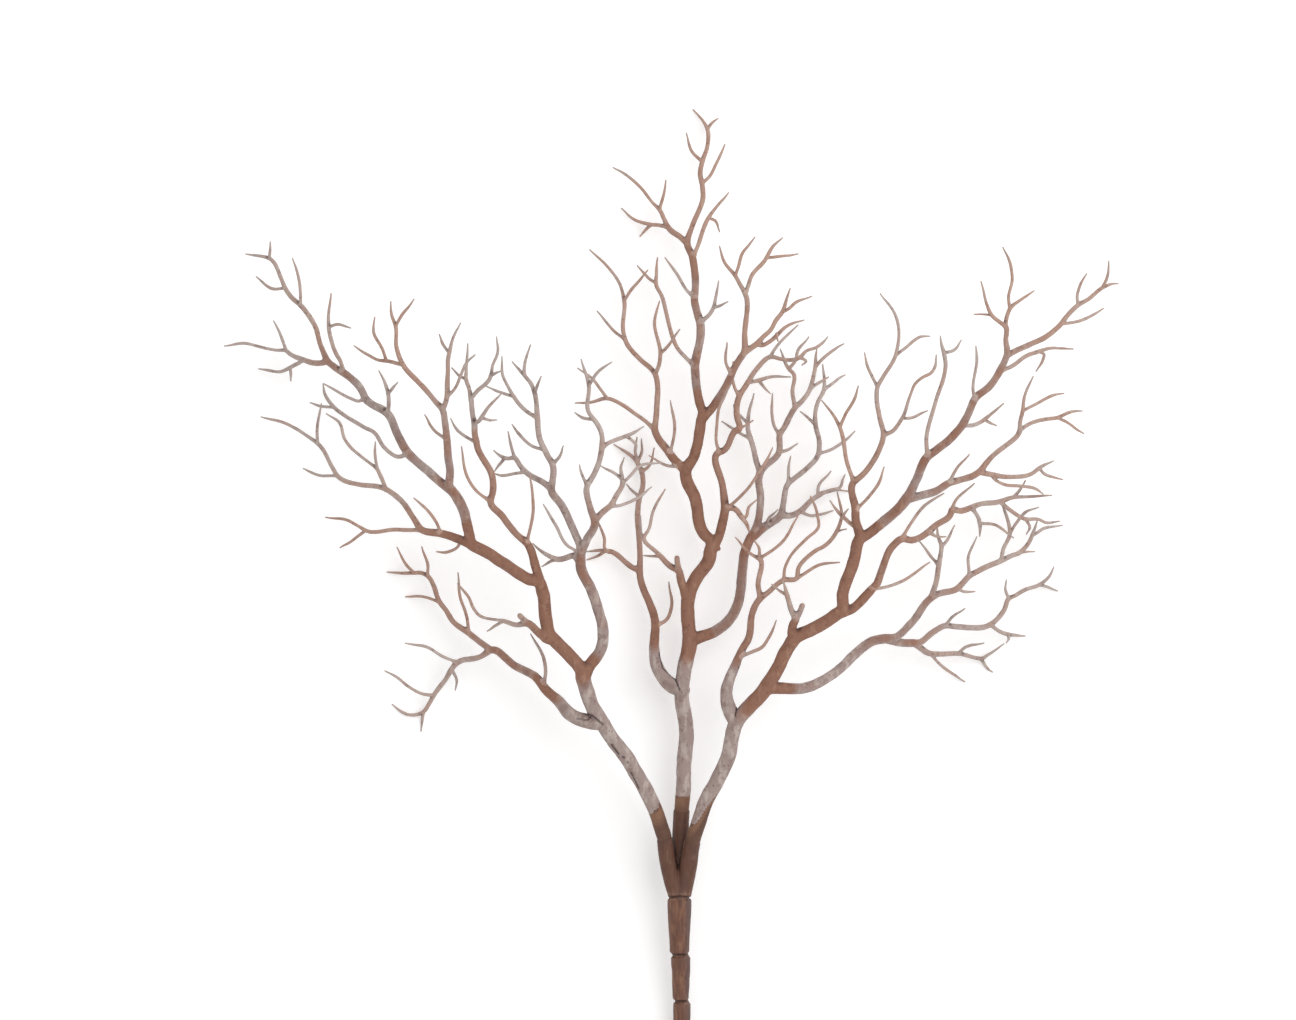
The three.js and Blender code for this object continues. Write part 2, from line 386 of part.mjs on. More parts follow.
// Makes each side limb stouter where it leaves its parent
function swellForks(knot) {
  const kids = [...knot.kids].sort((a, b) => b.tips - a.tips);
  kids.forEach((kid, i) => {
    const extra = FORK_SWELL * (knot.radius - kid.radius);
    let far = kid;
    let run = kid.at.distanceTo(knot.at);
    while (i > 0 && kid.tips > 2 && far.kids.length && run < FORK_RUN) {
      far.radius += extra * (1 - run / FORK_RUN);
      const next = far.kids.reduce((a, b) => (b.tips > a.tips ? b : a));
      run += next.at.distanceTo(far.at);
      far = next;
    }
    swellForks(kid);
  });
}

// The side branches that are moulded apart and plugged into a stalk
const PLUGGED = ['left_side', 'centre_side', 'right_side'];

function swellPlug({ knots, joint }) {
  const run = new Map([[joint, 0]]);
  const runTo = (knot) => {
    if (!run.has(knot)) {
      run.set(knot, runTo(knot.up) + knot.at.distanceTo(knot.up.at));
    }
    return run.get(knot);
  };
  for (const knot of knots) {
    if (knot.kids.length) {
      knot.radius *= 1 + PLUG_SWELL * Math.max(0, 1 - runTo(knot) / PLUG_RUN);
    }
  }
}

function countTips(knot) {
  knot.tips = knot.kids.length ? 0 : 1;
  for (const kid of knot.kids) {
    knot.tips += countTips(kid);
  }
  knot.radius = Math.min(LIMB_RADIUS * knot.tips ** LIMB_POWER, STOUTEST);
  if (!knot.kids.length) {
    knot.radius = TIP_RADIUS;
  }
  return knot.tips;
}

// A closed tube through points with a radius at each, its rings square to the run
function tube(points, radii, sides) {
  const swell = Math.sqrt(2 * Math.PI / (sides * Math.sin(2 * Math.PI / sides)));
  const up = new THREE.Vector3(0, 0, 1);
  const position = [];
  points.forEach((point, i) => {
    const before = points[Math.max(i - 1, 0)];
    const after = points[Math.min(i + 1, points.length - 1)];
    const run = after.clone().sub(before).normalize();
    if (i > 0 && i < points.length - 1) {
      const a = point.clone().sub(before).normalize();
      const b = after.clone().sub(point).normalize();
      run.copy(a.add(b).normalize());
    }
    const across = run.clone().cross(up).normalize();
    const rise = across.clone().cross(run);
    for (let k = 0; k < sides; k += 1) {
      const turn = Math.PI / 2 + k * 2 * Math.PI / sides;
      const corner = point.clone();
      corner.addScaledVector(across, Math.cos(turn) * radii[i] * swell);
      corner.addScaledVector(rise, Math.sin(turn) * radii[i] * swell);
      position.push(corner.x, corner.y, corner.z);
    }
  });
  const index = [];
  for (let i = 0; i < points.length - 1; i += 1) {
    for (let k = 0; k < sides; k += 1) {
      const a = i * sides + k;
      const b = i * sides + (k + 1) % sides;
      index.push(a, a + sides, b, b, a + sides, b + sides);
    }
  }
  const end = (points.length - 1) * sides;
  for (let k = 1; k < sides - 1; k += 1) {
    index.push(0, k, k + 1, end, end + k + 1, end + k);
  }
  const geometry = new THREE.BufferGeometry();
  geometry.setAttribute('position', new THREE.Float32BufferAttribute(position, 3));
  geometry.setIndex(index);
  return geometry;
}

function solidOf(geometry) {
  const merged = mergeVertices(geometry, 1e-5);
  const mesh = new wasm.Mesh({
    numProp: 3,
    vertProperties: new Float32Array(merged.attributes.position.array),
    triVerts: new Uint32Array(merged.index.array),
  });
  return new wasm.Manifold(mesh);
}

function joined(solids) {
  let all = solids[0];
  for (const solid of solids.slice(1)) {
    all = all.add(solid);
  }
  return all;
}

function largest(solid) {
  const pieces = solid.decompose();
  pieces.sort((a, b) => b.volume() - a.volume());
  return pieces[0];
}

function geometryOf(solid) {
  const mesh = solid.getMesh();
  const geometry = new THREE.BufferGeometry();
  geometry.setAttribute('position', new THREE.Float32BufferAttribute(mesh.vertProperties, 3));
  geometry.setIndex(Array.from(mesh.triVerts));
  geometry.computeVertexNormals();
  return geometry;
}

function sidesFor(radius) {
  if (radius < 1.3) {
    return 3;
  }
  if (radius < 2.3) {
    return 4;
  }
  return radius < 3 ? 5 : 6;
}

// Leaves out the knots of a run that hardly bend it, and keeps those that carry a side limb
// close to the middle of their tube
function straightened(run) {
  const kept = [0];
  for (let i = 1; i < run.length - 1; i += 1) {
    const last = kept[kept.length - 1];
    const chord = new THREE.Line3(run[last].at, run[i + 1].at);
    const bent = run.slice(last + 1, i + 1).some((knot) => {
      const near = chord.closestPointToPoint(knot.at, true, new THREE.Vector3());
      const allowed = knot.kids.length > 1 ? knot.radius * FORK_STRAIGHT : STRAIGHT;
      return near.distanceTo(knot.at) > allowed;
    });
    if (bent || Math.abs(run[i].radius - run[last].radius) > 0.45) {
      kept.push(i);
    }
  }
  kept.push(run.length - 1);
  return kept.map((i) => run[i]);
}

// One run as a closed tube, made larger all round by a gap where it is to be kept clear of
function runSolid(run, startRadius, blunt, gap) {
  const knots = straightened(run);
  const points = knots.map((knot) => knot.at.clone());
  const radii = knots.map((knot) => knot.radius);
  radii[0] = Math.min(radii[0], startRadius);
  if (blunt) {
    radii.fill(PEG_RADIUS);
  }
  const sides = sidesFor(Math.max(...radii.slice(0, 2)));
  points.forEach((point, i) => {
    point.z = Math.max(point.z, radii[i]);
  });
  const last = points.length - 1;
  const ahead = points[last].clone().sub(points[last - 1]).normalize();
  points[last].addScaledVector(ahead, gap);
  return solidOf(tube(points, radii.map((radius) => radius + gap), sides));
}

// The runs of one section: each follows its thickest limb, and starts afresh at side limbs
// and where it has become much thinner
function sectionSolid(name, { joint, knots }, gap) {
  const solids = [];
  const own = new Set(knots);
  const stub = name.endsWith('_stub');
  const waiting = [[joint, joint.kids.find((kid) => own.has(kid))]];
  if (joint.section === name) {
    waiting.splice(0, 1, ...joint.kids.map((kid) => [joint, kid]));
  }
  while (waiting.length) {
    const [start, first] = waiting.pop();
    const run = [start];
    let knot = first;
    const sides = sidesFor(first.radius);
    while (knot) {
      run.push(knot);
      const kids = knot.kids.filter((kid) => own.has(kid));
      kids.sort((a, b) => b.tips - a.tips);
      const main = kids.shift();
      kids.forEach((kid) => waiting.push([knot, kid]));
      if (main && sidesFor(main.radius) < sides && knot !== first) {
        const back = knot.at.clone().lerp(knot.up.at, 0.15);
        waiting.push([{ at: back, radius: main.radius }, main]);
        knot = null;
      } else {
        knot = main;
      }
    }
    const blunt = stub && start === joint;
    solids.push(runSolid(run, first.radius * 1.12 + 0.05, blunt, gap));
  }
  return joined(solids);
}

// The space around the sections already made that pass near a joint
function clearance(joint, made) {
  const solids = [];
  for (const { knots, wide } of made) {
    const close = knots.some((knot) => knot.up && new THREE.Line3(knot.up.at, knot.at)
      .closestPointToPoint(joint.at, true, new THREE.Vector3()).distanceTo(joint.at) < JOINT_REACH);
    if (close) {
      const block = new THREE.BoxGeometry(2 * JOINT_REACH, 2 * JOINT_REACH, 2 * JOINT_REACH);
      block.deleteAttribute('normal');
      block.deleteAttribute('uv');
      block.translate(joint.at.x, joint.at.y, joint.at.z);
      solids.push(wide.intersect(solidOf(block)));
    }
  }
  return solids;
}

function stemSolid() {
  const points = [];
  const radii = [];
  STEM_SEGMENTS.forEach(([y0, r0, y1, r1, x], i) => {
    points.push(new THREE.Vector3(x, y0, stemHeight(y0)), new THREE.Vector3(x, y1, stemHeight(y1)));
    radii.push(r0, r1);
    if (i < STEM_SEGMENTS.length - 1) {
      const middle = (y1 + STEM_SEGMENTS[i + 1][0]) / 2;
      points.push(new THREE.Vector3(x, middle, stemHeight(middle)));
      radii.push(STEM_NECK_RADIUS);
    }
  });
  return solidOf(tube(points, radii, 10));
}

function crownSolid() {
  const solids = SOCKETS.map(([footX, footZ, midX, lipX, lipY, lipZ, lipR]) => {
    const midY = 90;
    const midZ = THREE.MathUtils.lerp(footZ, lipZ, (midY - CROWN_FOOT) / (lipY - CROWN_FOOT));
    const points = [
      new THREE.Vector3(footX * 0.8, CROWN_FOOT - 1.2, footZ),
      new THREE.Vector3(midX, midY, midZ),
      new THREE.Vector3(lipX, lipY, lipZ),
    ];
    return solidOf(tube(points, [CROWN_FOOT_RADIUS - 0.4, 3.15, lipR], 8));
  });
  return joined(solids);
}

function meshOf(name, solid, colour, roughness) {
  const material = new THREE.MeshStandardMaterial({ color: colour, roughness, metalness: 0 });
  const mesh = new THREE.Mesh(geometryOf(solid), material);
  mesh.name = name;
  return mesh;
}

const grown = growAll();
for (const { joint, from } of grown.values()) {
  if (typeof from === 'number') {
    countTips(joint);
    swellForks(joint);
  }
}
PLUGGED.forEach((name) => swellPlug(grown.get(name)));

const spray = new THREE.Group();
const stem = stemSolid();
const crown = crownSolid();
spray.add(meshOf('stem', stem, BROWN, 0.6));
spray.add(meshOf('crown', crown, BROWN, 0.6));

const stalks = { left: new THREE.Group(), centre: new THREE.Group(), right: new THREE.Group() };
const made = [];
for (const [name, part] of grown) {
  let solid = sectionSolid(name, part, 0);
  for (const block of clearance(part.joint, made)) {
    solid = solid.subtract(block);
  }
  made.push({ knots: part.knots, wide: sectionSolid(name, part, JOINT_GAP) });
  const stalk = name.split('_')[0];
  const colour = name.endsWith('_stalk') ? GREY : TAN;
  stalks[stalk].add(meshOf(name, largest(solid), colour, 0.7));
}
spray.add(stalks.left, stalks.centre, stalks.right);

// The origin is under the middle of the whole spray, on the surface it lies on
const box = new THREE.Box3().setFromObject(spray);
const middle = box.getCenter(new THREE.Vector3());
spray.position.set(-middle.x, -middle.y, -box.min.z);

export default spray;
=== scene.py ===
import itertools
import math

import bpy
import numpy as np
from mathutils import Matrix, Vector, kdtree, noise


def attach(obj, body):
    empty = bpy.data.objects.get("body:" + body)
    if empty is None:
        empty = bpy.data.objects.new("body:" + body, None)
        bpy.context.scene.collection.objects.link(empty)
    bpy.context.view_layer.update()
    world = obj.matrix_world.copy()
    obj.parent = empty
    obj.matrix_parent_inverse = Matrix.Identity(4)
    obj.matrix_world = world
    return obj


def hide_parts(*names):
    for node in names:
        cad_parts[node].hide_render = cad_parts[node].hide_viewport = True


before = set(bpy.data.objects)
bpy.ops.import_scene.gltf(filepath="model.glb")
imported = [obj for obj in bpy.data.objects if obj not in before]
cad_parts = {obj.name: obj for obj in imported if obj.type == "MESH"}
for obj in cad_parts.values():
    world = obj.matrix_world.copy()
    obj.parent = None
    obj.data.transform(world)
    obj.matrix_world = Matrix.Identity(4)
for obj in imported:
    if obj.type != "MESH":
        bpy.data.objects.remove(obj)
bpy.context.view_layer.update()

MM = 0.001
MIDDLE = Vector((-3.04, 180.23, -0.06))
STEM_LENGTHS = [
    (0, 2.6, 20.1, 3.0, 0.8),
    (20.6, 2.75, 38.5, 3.2, 0.75),
    (39.1, 2.9, 55.2, 3.5, 0.42),
    (56.1, 3.6, 76.0, 4.35, -0.1),
]
NECK = 2.35
BEVEL = 0.75
STEM_REST, STEM_RISE, STEM_RUN = 2.65, 11.35, 77


def stem_height(y):
    """Height of the stem's axis: it rests on its cut end and rises to the crown."""
    return STEM_REST + y * STEM_RISE / STEM_RUN


def sweep(points, radii, sides):
    """Rings of vertices round a line of points, with a pole at each end: (vertices, faces)."""
    points = np.array(points, float)
    ahead = np.gradient(points, axis=0)
    ahead /= np.linalg.norm(ahead, axis=1)[:, None]
    across = np.cross(ahead[0], (0.13, 0.21, 1.0))
    verts, faces = [points[0]], []
    turns = np.arange(sides) * 2 * math.pi / sides
    for point, run, radius in zip(points, ahead, radii):
        across = across - run * across.dot(run)
        across /= np.linalg.norm(across)
        rise = np.cross(run, across)
        verts.extend(point + radius * (math.cos(t) * across + math.sin(t) * rise) for t in turns)
    verts.append(points[-1])
    last = len(verts) - 1
    for k in range(sides):
        faces.append((0, 1 + (k + 1) % sides, 1 + k))
        for ring in range(len(points) - 1):
            a = 1 + ring * sides + k
            b = 1 + ring * sides + (k + 1) % sides
            faces.append((a, b, b + sides, a + sides))
        top = last - sides
        faces.append((last, top + k, top + (k + 1) % sides))
    return np.array(verts), faces


def gathered(tubes):
    """Several (vertices, faces) as one."""
    verts, faces, start = [], [], 0
    for tube_verts, tube_faces in tubes:
        verts.append(tube_verts)
        faces.extend(tuple(v + start for v in face) for face in tube_faces)
        start += len(tube_verts)
    return np.concatenate(verts), faces


def make_piece(name, verts, faces):
    """A smooth-shaded mesh object, from millimetres in the spray's own layout."""
    mesh = bpy.data.meshes.new(name)
    mesh.from_pydata(((verts - np.array(MIDDLE)) * MM).tolist(), [], faces)
    mesh.polygons.foreach_set("use_smooth", [True] * len(mesh.polygons))
    piece = bpy.data.objects.new(name, mesh)
    bpy.context.scene.collection.objects.link(piece)
    return piece


def fused(verts, faces, voxel, rounds):
    """Overlapping closed tubes melted into one skin and smoothed: (vertices, faces)."""
    rough = make_piece("rough", verts, faces)
    remesh = rough.modifiers.new("melt", "REMESH")
    remesh.mode = "VOXEL"
    remesh.voxel_size = voxel * MM
    remesh.adaptivity = 0
    graph = bpy.context.evaluated_depsgraph_get()
    mesh = bpy.data.meshes.new_from_object(rough.evaluated_get(graph))
    skin = np.empty(len(mesh.vertices) * 3)
    mesh.vertices.foreach_get("co", skin)
    skin = skin.reshape(-1, 3) / MM + np.array(MIDDLE)
    quads = [tuple(face.vertices) for face in mesh.polygons]
    edges = np.empty(len(mesh.edges) * 2, int)
    mesh.edges.foreach_get("vertices", edges)
    a, b = edges.reshape(-1, 2).T
    count = np.bincount(np.concatenate([a, b]), minlength=len(skin))[:, None]
    for step in range(2 * rounds):
        total = np.zeros_like(skin)
        np.add.at(total, a, skin[b])
        np.add.at(total, b, skin[a])
        pull = 0.55 if step % 2 == 0 else -0.5
        skin += pull * (total / np.maximum(count, 1) - skin)
    bpy.data.objects.remove(rough)
    bpy.data.meshes.remove(mesh)
    return skin, quads


stem_points, stem_radii = [], []
for y0, r0, y1, r1, x in STEM_LENGTHS:
    if stem_points:
        neck = (stem_points[-1][1] + y0) / 2
        stem_points.append((x, neck, stem_height(neck)))
        stem_radii.append(NECK)
    for y, r in [(y0, r0 - BEVEL), (y0 + 0.3, r0 - 0.3), (y0 + BEVEL, r0), (y0 + 3, r0 + 0.05),
                 ((y0 + y1) / 2, (r0 + r1) / 2), (y1 - 3, r1 - 0.02), (y1 - BEVEL, r1),
                 (y1 - 0.3, r1 - 0.3), (y1, r1 - BEVEL)]:
        stem_points.append((x, y, stem_height(y)))
        stem_radii.append(r)
CROWN_GROOVE = 76.6
for y, r in [(CROWN_GROOVE, 3.45), (77.2, 3.3), (80, 2.9)]:
    stem_points.append((0, y, stem_height(y)))
    stem_radii.append(r)

# Crown. Moulded in one with the stem: two sockets side by side in front with a slit between
# them, and a longer one behind. Each stalk's foot is pushed into a socket and stays there by
# friction. Its plastic is the stem's, with purplish clouds and paler scuffed edges.
SOCKETS = [
    [(-0.9, 77.3, 14.4, 3.3), (-2.5, 82, 15.2, 3.15), (-4.4, 90, 17.2, 3.05),
     (-5.35, 97.2, 19.1, 2.95)],
    [(0.9, 77.3, 14.4, 3.3), (2.1, 82, 15.2, 3.2), (3.4, 90, 17.4, 3.2),
     (4.5, 96.2, 19.1, 3.05)],
    [(0.1, 78.5, 13.0, 3.2), (0.2, 90, 12.9, 3.1), (0.35, 100, 13.1, 3.0),
     (0.65, 107.6, 13.4, 2.9)],
]


def rounded_run(knots, spacing):
    """Points and radii along a smooth curve through (x, y, z, radius) knots."""
    knots = np.array(knots, float)
    padded = np.vstack([2 * knots[0] - knots[1], knots, 2 * knots[-1] - knots[-2]])
    out = [knots[0]]
    for a, b, c, d in zip(padded, padded[1:], padded[2:], padded[3:]):
        length = max(np.linalg.norm((c - b)[:3]), 0.05)
        before = max(np.linalg.norm((b - a)[:3]), 0.3)
        after = max(np.linalg.norm((d - c)[:3]), 0.3)
        leave = ((c - b) / length * before + (b - a) / before * length) / (length + before)
        arrive = ((c - b) / length * after + (d - c) / after * length) / (length + after)
        steps = max(1, round(length / spacing))
        for i in range(1, steps + 1):
            t = i / steps
            place = (b * (2 * t**3 - 3 * t**2 + 1) + c * (3 * t**2 - 2 * t**3)
                     + length * leave * (t**3 - 2 * t**2 + t) + length * arrive * (t**3 - t**2))
            place[3] = b[3] + (c[3] - b[3]) * t
            out.append(place)
    out = np.array(out)
    return out[:, :3], out[:, 3]


def rounded_ends(points, radii, start=False):
    """Adds the shrinking rings that round off a run's far end, and its near end if asked."""
    rings = [(0.45, 0.9), (0.8, 0.62), (0.97, 0.28)]
    ahead = points[-1] - points[-2]
    ahead /= np.linalg.norm(ahead)
    tip, size = points[-1], radii[-1]
    points = list(points) + [tip + ahead * size * s for s, _ in rings]
    radii = list(radii) + [size * w for _, w in rings]
    if start:
        back = points[0] - points[1]
        back /= np.linalg.norm(back)
        root, size = points[0], radii[0]
        points = [root + back * size * s for s, _ in reversed(rings)] + points
        radii = [size * w for _, w in reversed(rings)] + radii
    return points, radii


class Wire:
    """A socket of a material's nodes, so that its maths can be written as plain expressions."""

    def __init__(self, tree, socket=None):
        self.tree = tree
        self.socket = socket

    def node(self, kind, settings, sockets, out=0):
        made = self.tree.nodes.new(kind)
        for key, value in settings.items():
            setattr(made, key, value)
        for key, value in sockets.items():
            if isinstance(value, Wire):
                self.tree.links.new(value.socket, made.inputs[key])
            else:
                made.inputs[key].default_value = value
        return Wire(self.tree, made.outputs[out])

    def maths(self, operation, a, b=0.0):
        return self.node("ShaderNodeMath", {"operation": operation}, {0: a, 1: b})

    def __add__(self, other):
        return self.maths("ADD", self, other)

    def __sub__(self, other):
        return self.maths("SUBTRACT", self, other)

    def __rsub__(self, other):
        return self.maths("SUBTRACT", other, self)

    def __mul__(self, other):
        return self.maths("MULTIPLY", self, other)

    __radd__ = __add__
    __rmul__ = __mul__

    def rise(self, low, high):
        """0 below low, 1 above high, smooth between them."""
        return self.node("ShaderNodeMapRange", {"interpolation_type": "SMOOTHSTEP"},
                         {"Value": self, "From Min": low, "From Max": high})

    def over(self, colour, mask):
        """This colour with another laid over it where the mask is 1."""
        return self.node("ShaderNodeMix", {"data_type": "RGBA"}, {0: mask, 6: self, 7: colour}, 2)

    def clouds(self, scale, detail=3.0, roughness=0.55, stretch=(1.0, 1.0, 1.0)):
        """A soft grey noise over the object, with so many clouds to the metre."""
        place = self.node("ShaderNodeTexCoord", {}, {}, "Object")
        place = self.node("ShaderNodeMapping", {}, {"Vector": place, "Scale": stretch})
        return self.node("ShaderNodeTexNoise", {}, {"Vector": place, "Scale": scale,
                                                    "Detail": detail, "Roughness": roughness})

    def colour(self, red, green, blue):
        made = self.node("ShaderNodeRGB", {}, {})
        made.socket.default_value = shade(red, green, blue)
        return made

    def mark(self, name):
        """A value that was worked out for each point of the mesh."""
        return self.node("ShaderNodeAttribute", {"attribute_name": name}, {}, "Fac")


def shade(red, green, blue):
    """A colour as a paint chart gives it, 0 to 255, as the shader needs it."""
    parts = [c / 255 for c in (red, green, blue)]
    return tuple(c / 12.92 if c <= 0.04045 else ((c + 0.055) / 1.055) ** 2.4 for c in parts) + (1,)


def new_finish(name):
    material = bpy.data.materials.new(name)
    material.use_nodes = True
    surface = material.node_tree.nodes["Principled BSDF"]
    return material, Wire(material.node_tree), surface


def put(wire, surface, socket):
    wire.tree.links.new(wire.socket, surface.inputs[socket])


def brown_plastic():
    """Dark brown moulded plastic, slightly waxy, with purplish clouds, paler streaks and painted
    shade in its grooves.
    """
    material, start, surface = new_finish("brown plastic")
    streaks = start.clouds(900.0, 3.0, 0.6, (1.0, 0.12, 1.0))
    wisps = start.clouds(500.0, 4.0, 0.65, (1.0, 0.3, 1.0))
    colour = start.colour(116, 80, 64)
    colour = colour.over(shade(142, 104, 82), streaks.rise(0.5, 0.64) * 0.6)
    colour = colour.over(shade(92, 64, 54), (1 - streaks).rise(0.52, 0.66) * 0.6)
    colour = colour.over(shade(92, 74, 72), start.mark("dusk") * 0.75)
    colour = colour.over(shade(92, 62, 50), start.mark("dark") * 0.7)
    colour = colour.over(shade(82, 58, 52), wisps.rise(0.54, 0.68) * 0.6)
    colour = colour.over(shade(140, 112, 96), (1 - wisps).rise(0.58, 0.7) * 0.3)
    # Painted shade: near-black in the grooves between the stem's segments, at the crown's foot and
    # in the slit between the front sockets.
    colour = colour.over(shade(56, 38, 35), start.mark("groove_shade") * 0.9)
    colour = colour.over(shade(156, 128, 112), start.mark("edge") * streaks.rise(0.38, 0.6) * 0.45)
    put(colour, surface, "Base Color")
    put(streaks * 0.25 + 0.45, surface, "Roughness")
    surface.inputs["Specular IOR Level"].default_value = 0.3
    bump = start.node("ShaderNodeBump", {}, {"Strength": 0.35, "Distance": 0.00012,
                                             "Height": streaks + start.clouds(1500.0)})
    put(bump, surface, "Normal")
    return material


def set_mark(piece, name, values):
    """Stores a value for each point of a piece, for its finish to read."""
    layer = piece.data.attributes.new(name, "FLOAT", "POINT")
    layer.data.foreach_set("value", np.asarray(values, np.float32))


crown_tubes = []
for knots in SOCKETS:
    points, radii = rounded_run(knots, 1.0)
    points, radii = list(points), list(radii)
    ahead = (points[-1] - points[-2]) / np.linalg.norm(points[-1] - points[-2])
    points += [points[-1] + ahead * 0.35, points[-1] + ahead * 0.6]
    radii += [radii[-1] - 0.12, radii[-1] - 0.45]
    crown_tubes.append(sweep(points, radii, 28))
crown_verts, crown_faces = fused(*gathered(crown_tubes), 0.32, 3)
stem_fine, stem_fine_radii = [stem_points[0]], [stem_radii[0]]
for (p, r), (q, s) in zip(zip(stem_points, stem_radii), zip(stem_points[1:], stem_radii[1:])):
    steps = max(1, round(math.dist(p, q) / 1.2))
    for i in range(1, steps + 1):
        t = i / steps
        stem_fine.append(tuple(a + (b - a) * t for a, b in zip(p, q)))
        stem_fine_radii.append(r + (s - r) * t)
stem_verts, stem_faces = sweep(stem_fine, stem_fine_radii, 36)
verts, faces = gathered([(stem_verts, stem_faces), (crown_verts, crown_faces)])
for i, v in enumerate(verts):
    centre = Vector((0.2, v[1], stem_height(v[1]) if v[1] < 77 else 15))
    out = (Vector(v) - centre).normalized()
    wave = noise.noise(Vector(v) * 0.22) * 0.16 + noise.noise(Vector(v) * 0.9) * 0.05
    verts[i] += np.array(out) * wave
stem = make_piece("stem_and_crown", verts, faces)
# Painted shade for the grooves between stem segments and the slit between the front sockets: how
# near each point lies to them.
grooves = [(a[2] + b[0]) / 2 for a, b in zip(STEM_LENGTHS, STEM_LENGTHS[1:])] + [CROWN_GROOVE]
off = np.min([np.abs(verts[:, 1] - y) for y in grooves], axis=0)
slit_shade = np.abs(verts[:, 0] - np.interp(verts[:, 1], [86, 98], [-0.75, -2.4]))
slit_shade = np.clip(1.5 - slit_shade / 0.4, 0, 1)
slit_shade *= (verts[:, 1] > 86.2) & (verts[:, 1] < 98.6) & (verts[:, 2] > 12)
set_mark(stem, "groove_shade", np.maximum(np.clip(1.25 - off / 0.45, 0, 1), slit_shade))
# Purplish clouds: down the stem's right side, then x, y, width and length of each on the crown
dusk = np.clip((verts[:, 0] - 1.4) / 1.6, 0, 1) * (verts[:, 1] < 76)
for x, y, wide, tall in ((5.6, 93.5, 1.9, 4.5), (1.6, 81.5, 1.3, 4.0), (-7.0, 97.0, 1.4, 2.5)):
    dusk = np.maximum(dusk, np.exp(-((verts[:, 0] - x) / wide)**2 - ((verts[:, 1] - y) / tall)**2))
set_mark(stem, "dusk", dusk)
set_mark(stem, "dark", np.clip((verts[:, 1] - 77) / 3, 0, 1))
set_mark(stem, "edge", np.clip(1 - np.abs(off - 1.0) / 0.5, 0, 1))
stem.data.materials.append(brown_plastic())
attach(stem, "root")
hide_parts("stem", "crown")

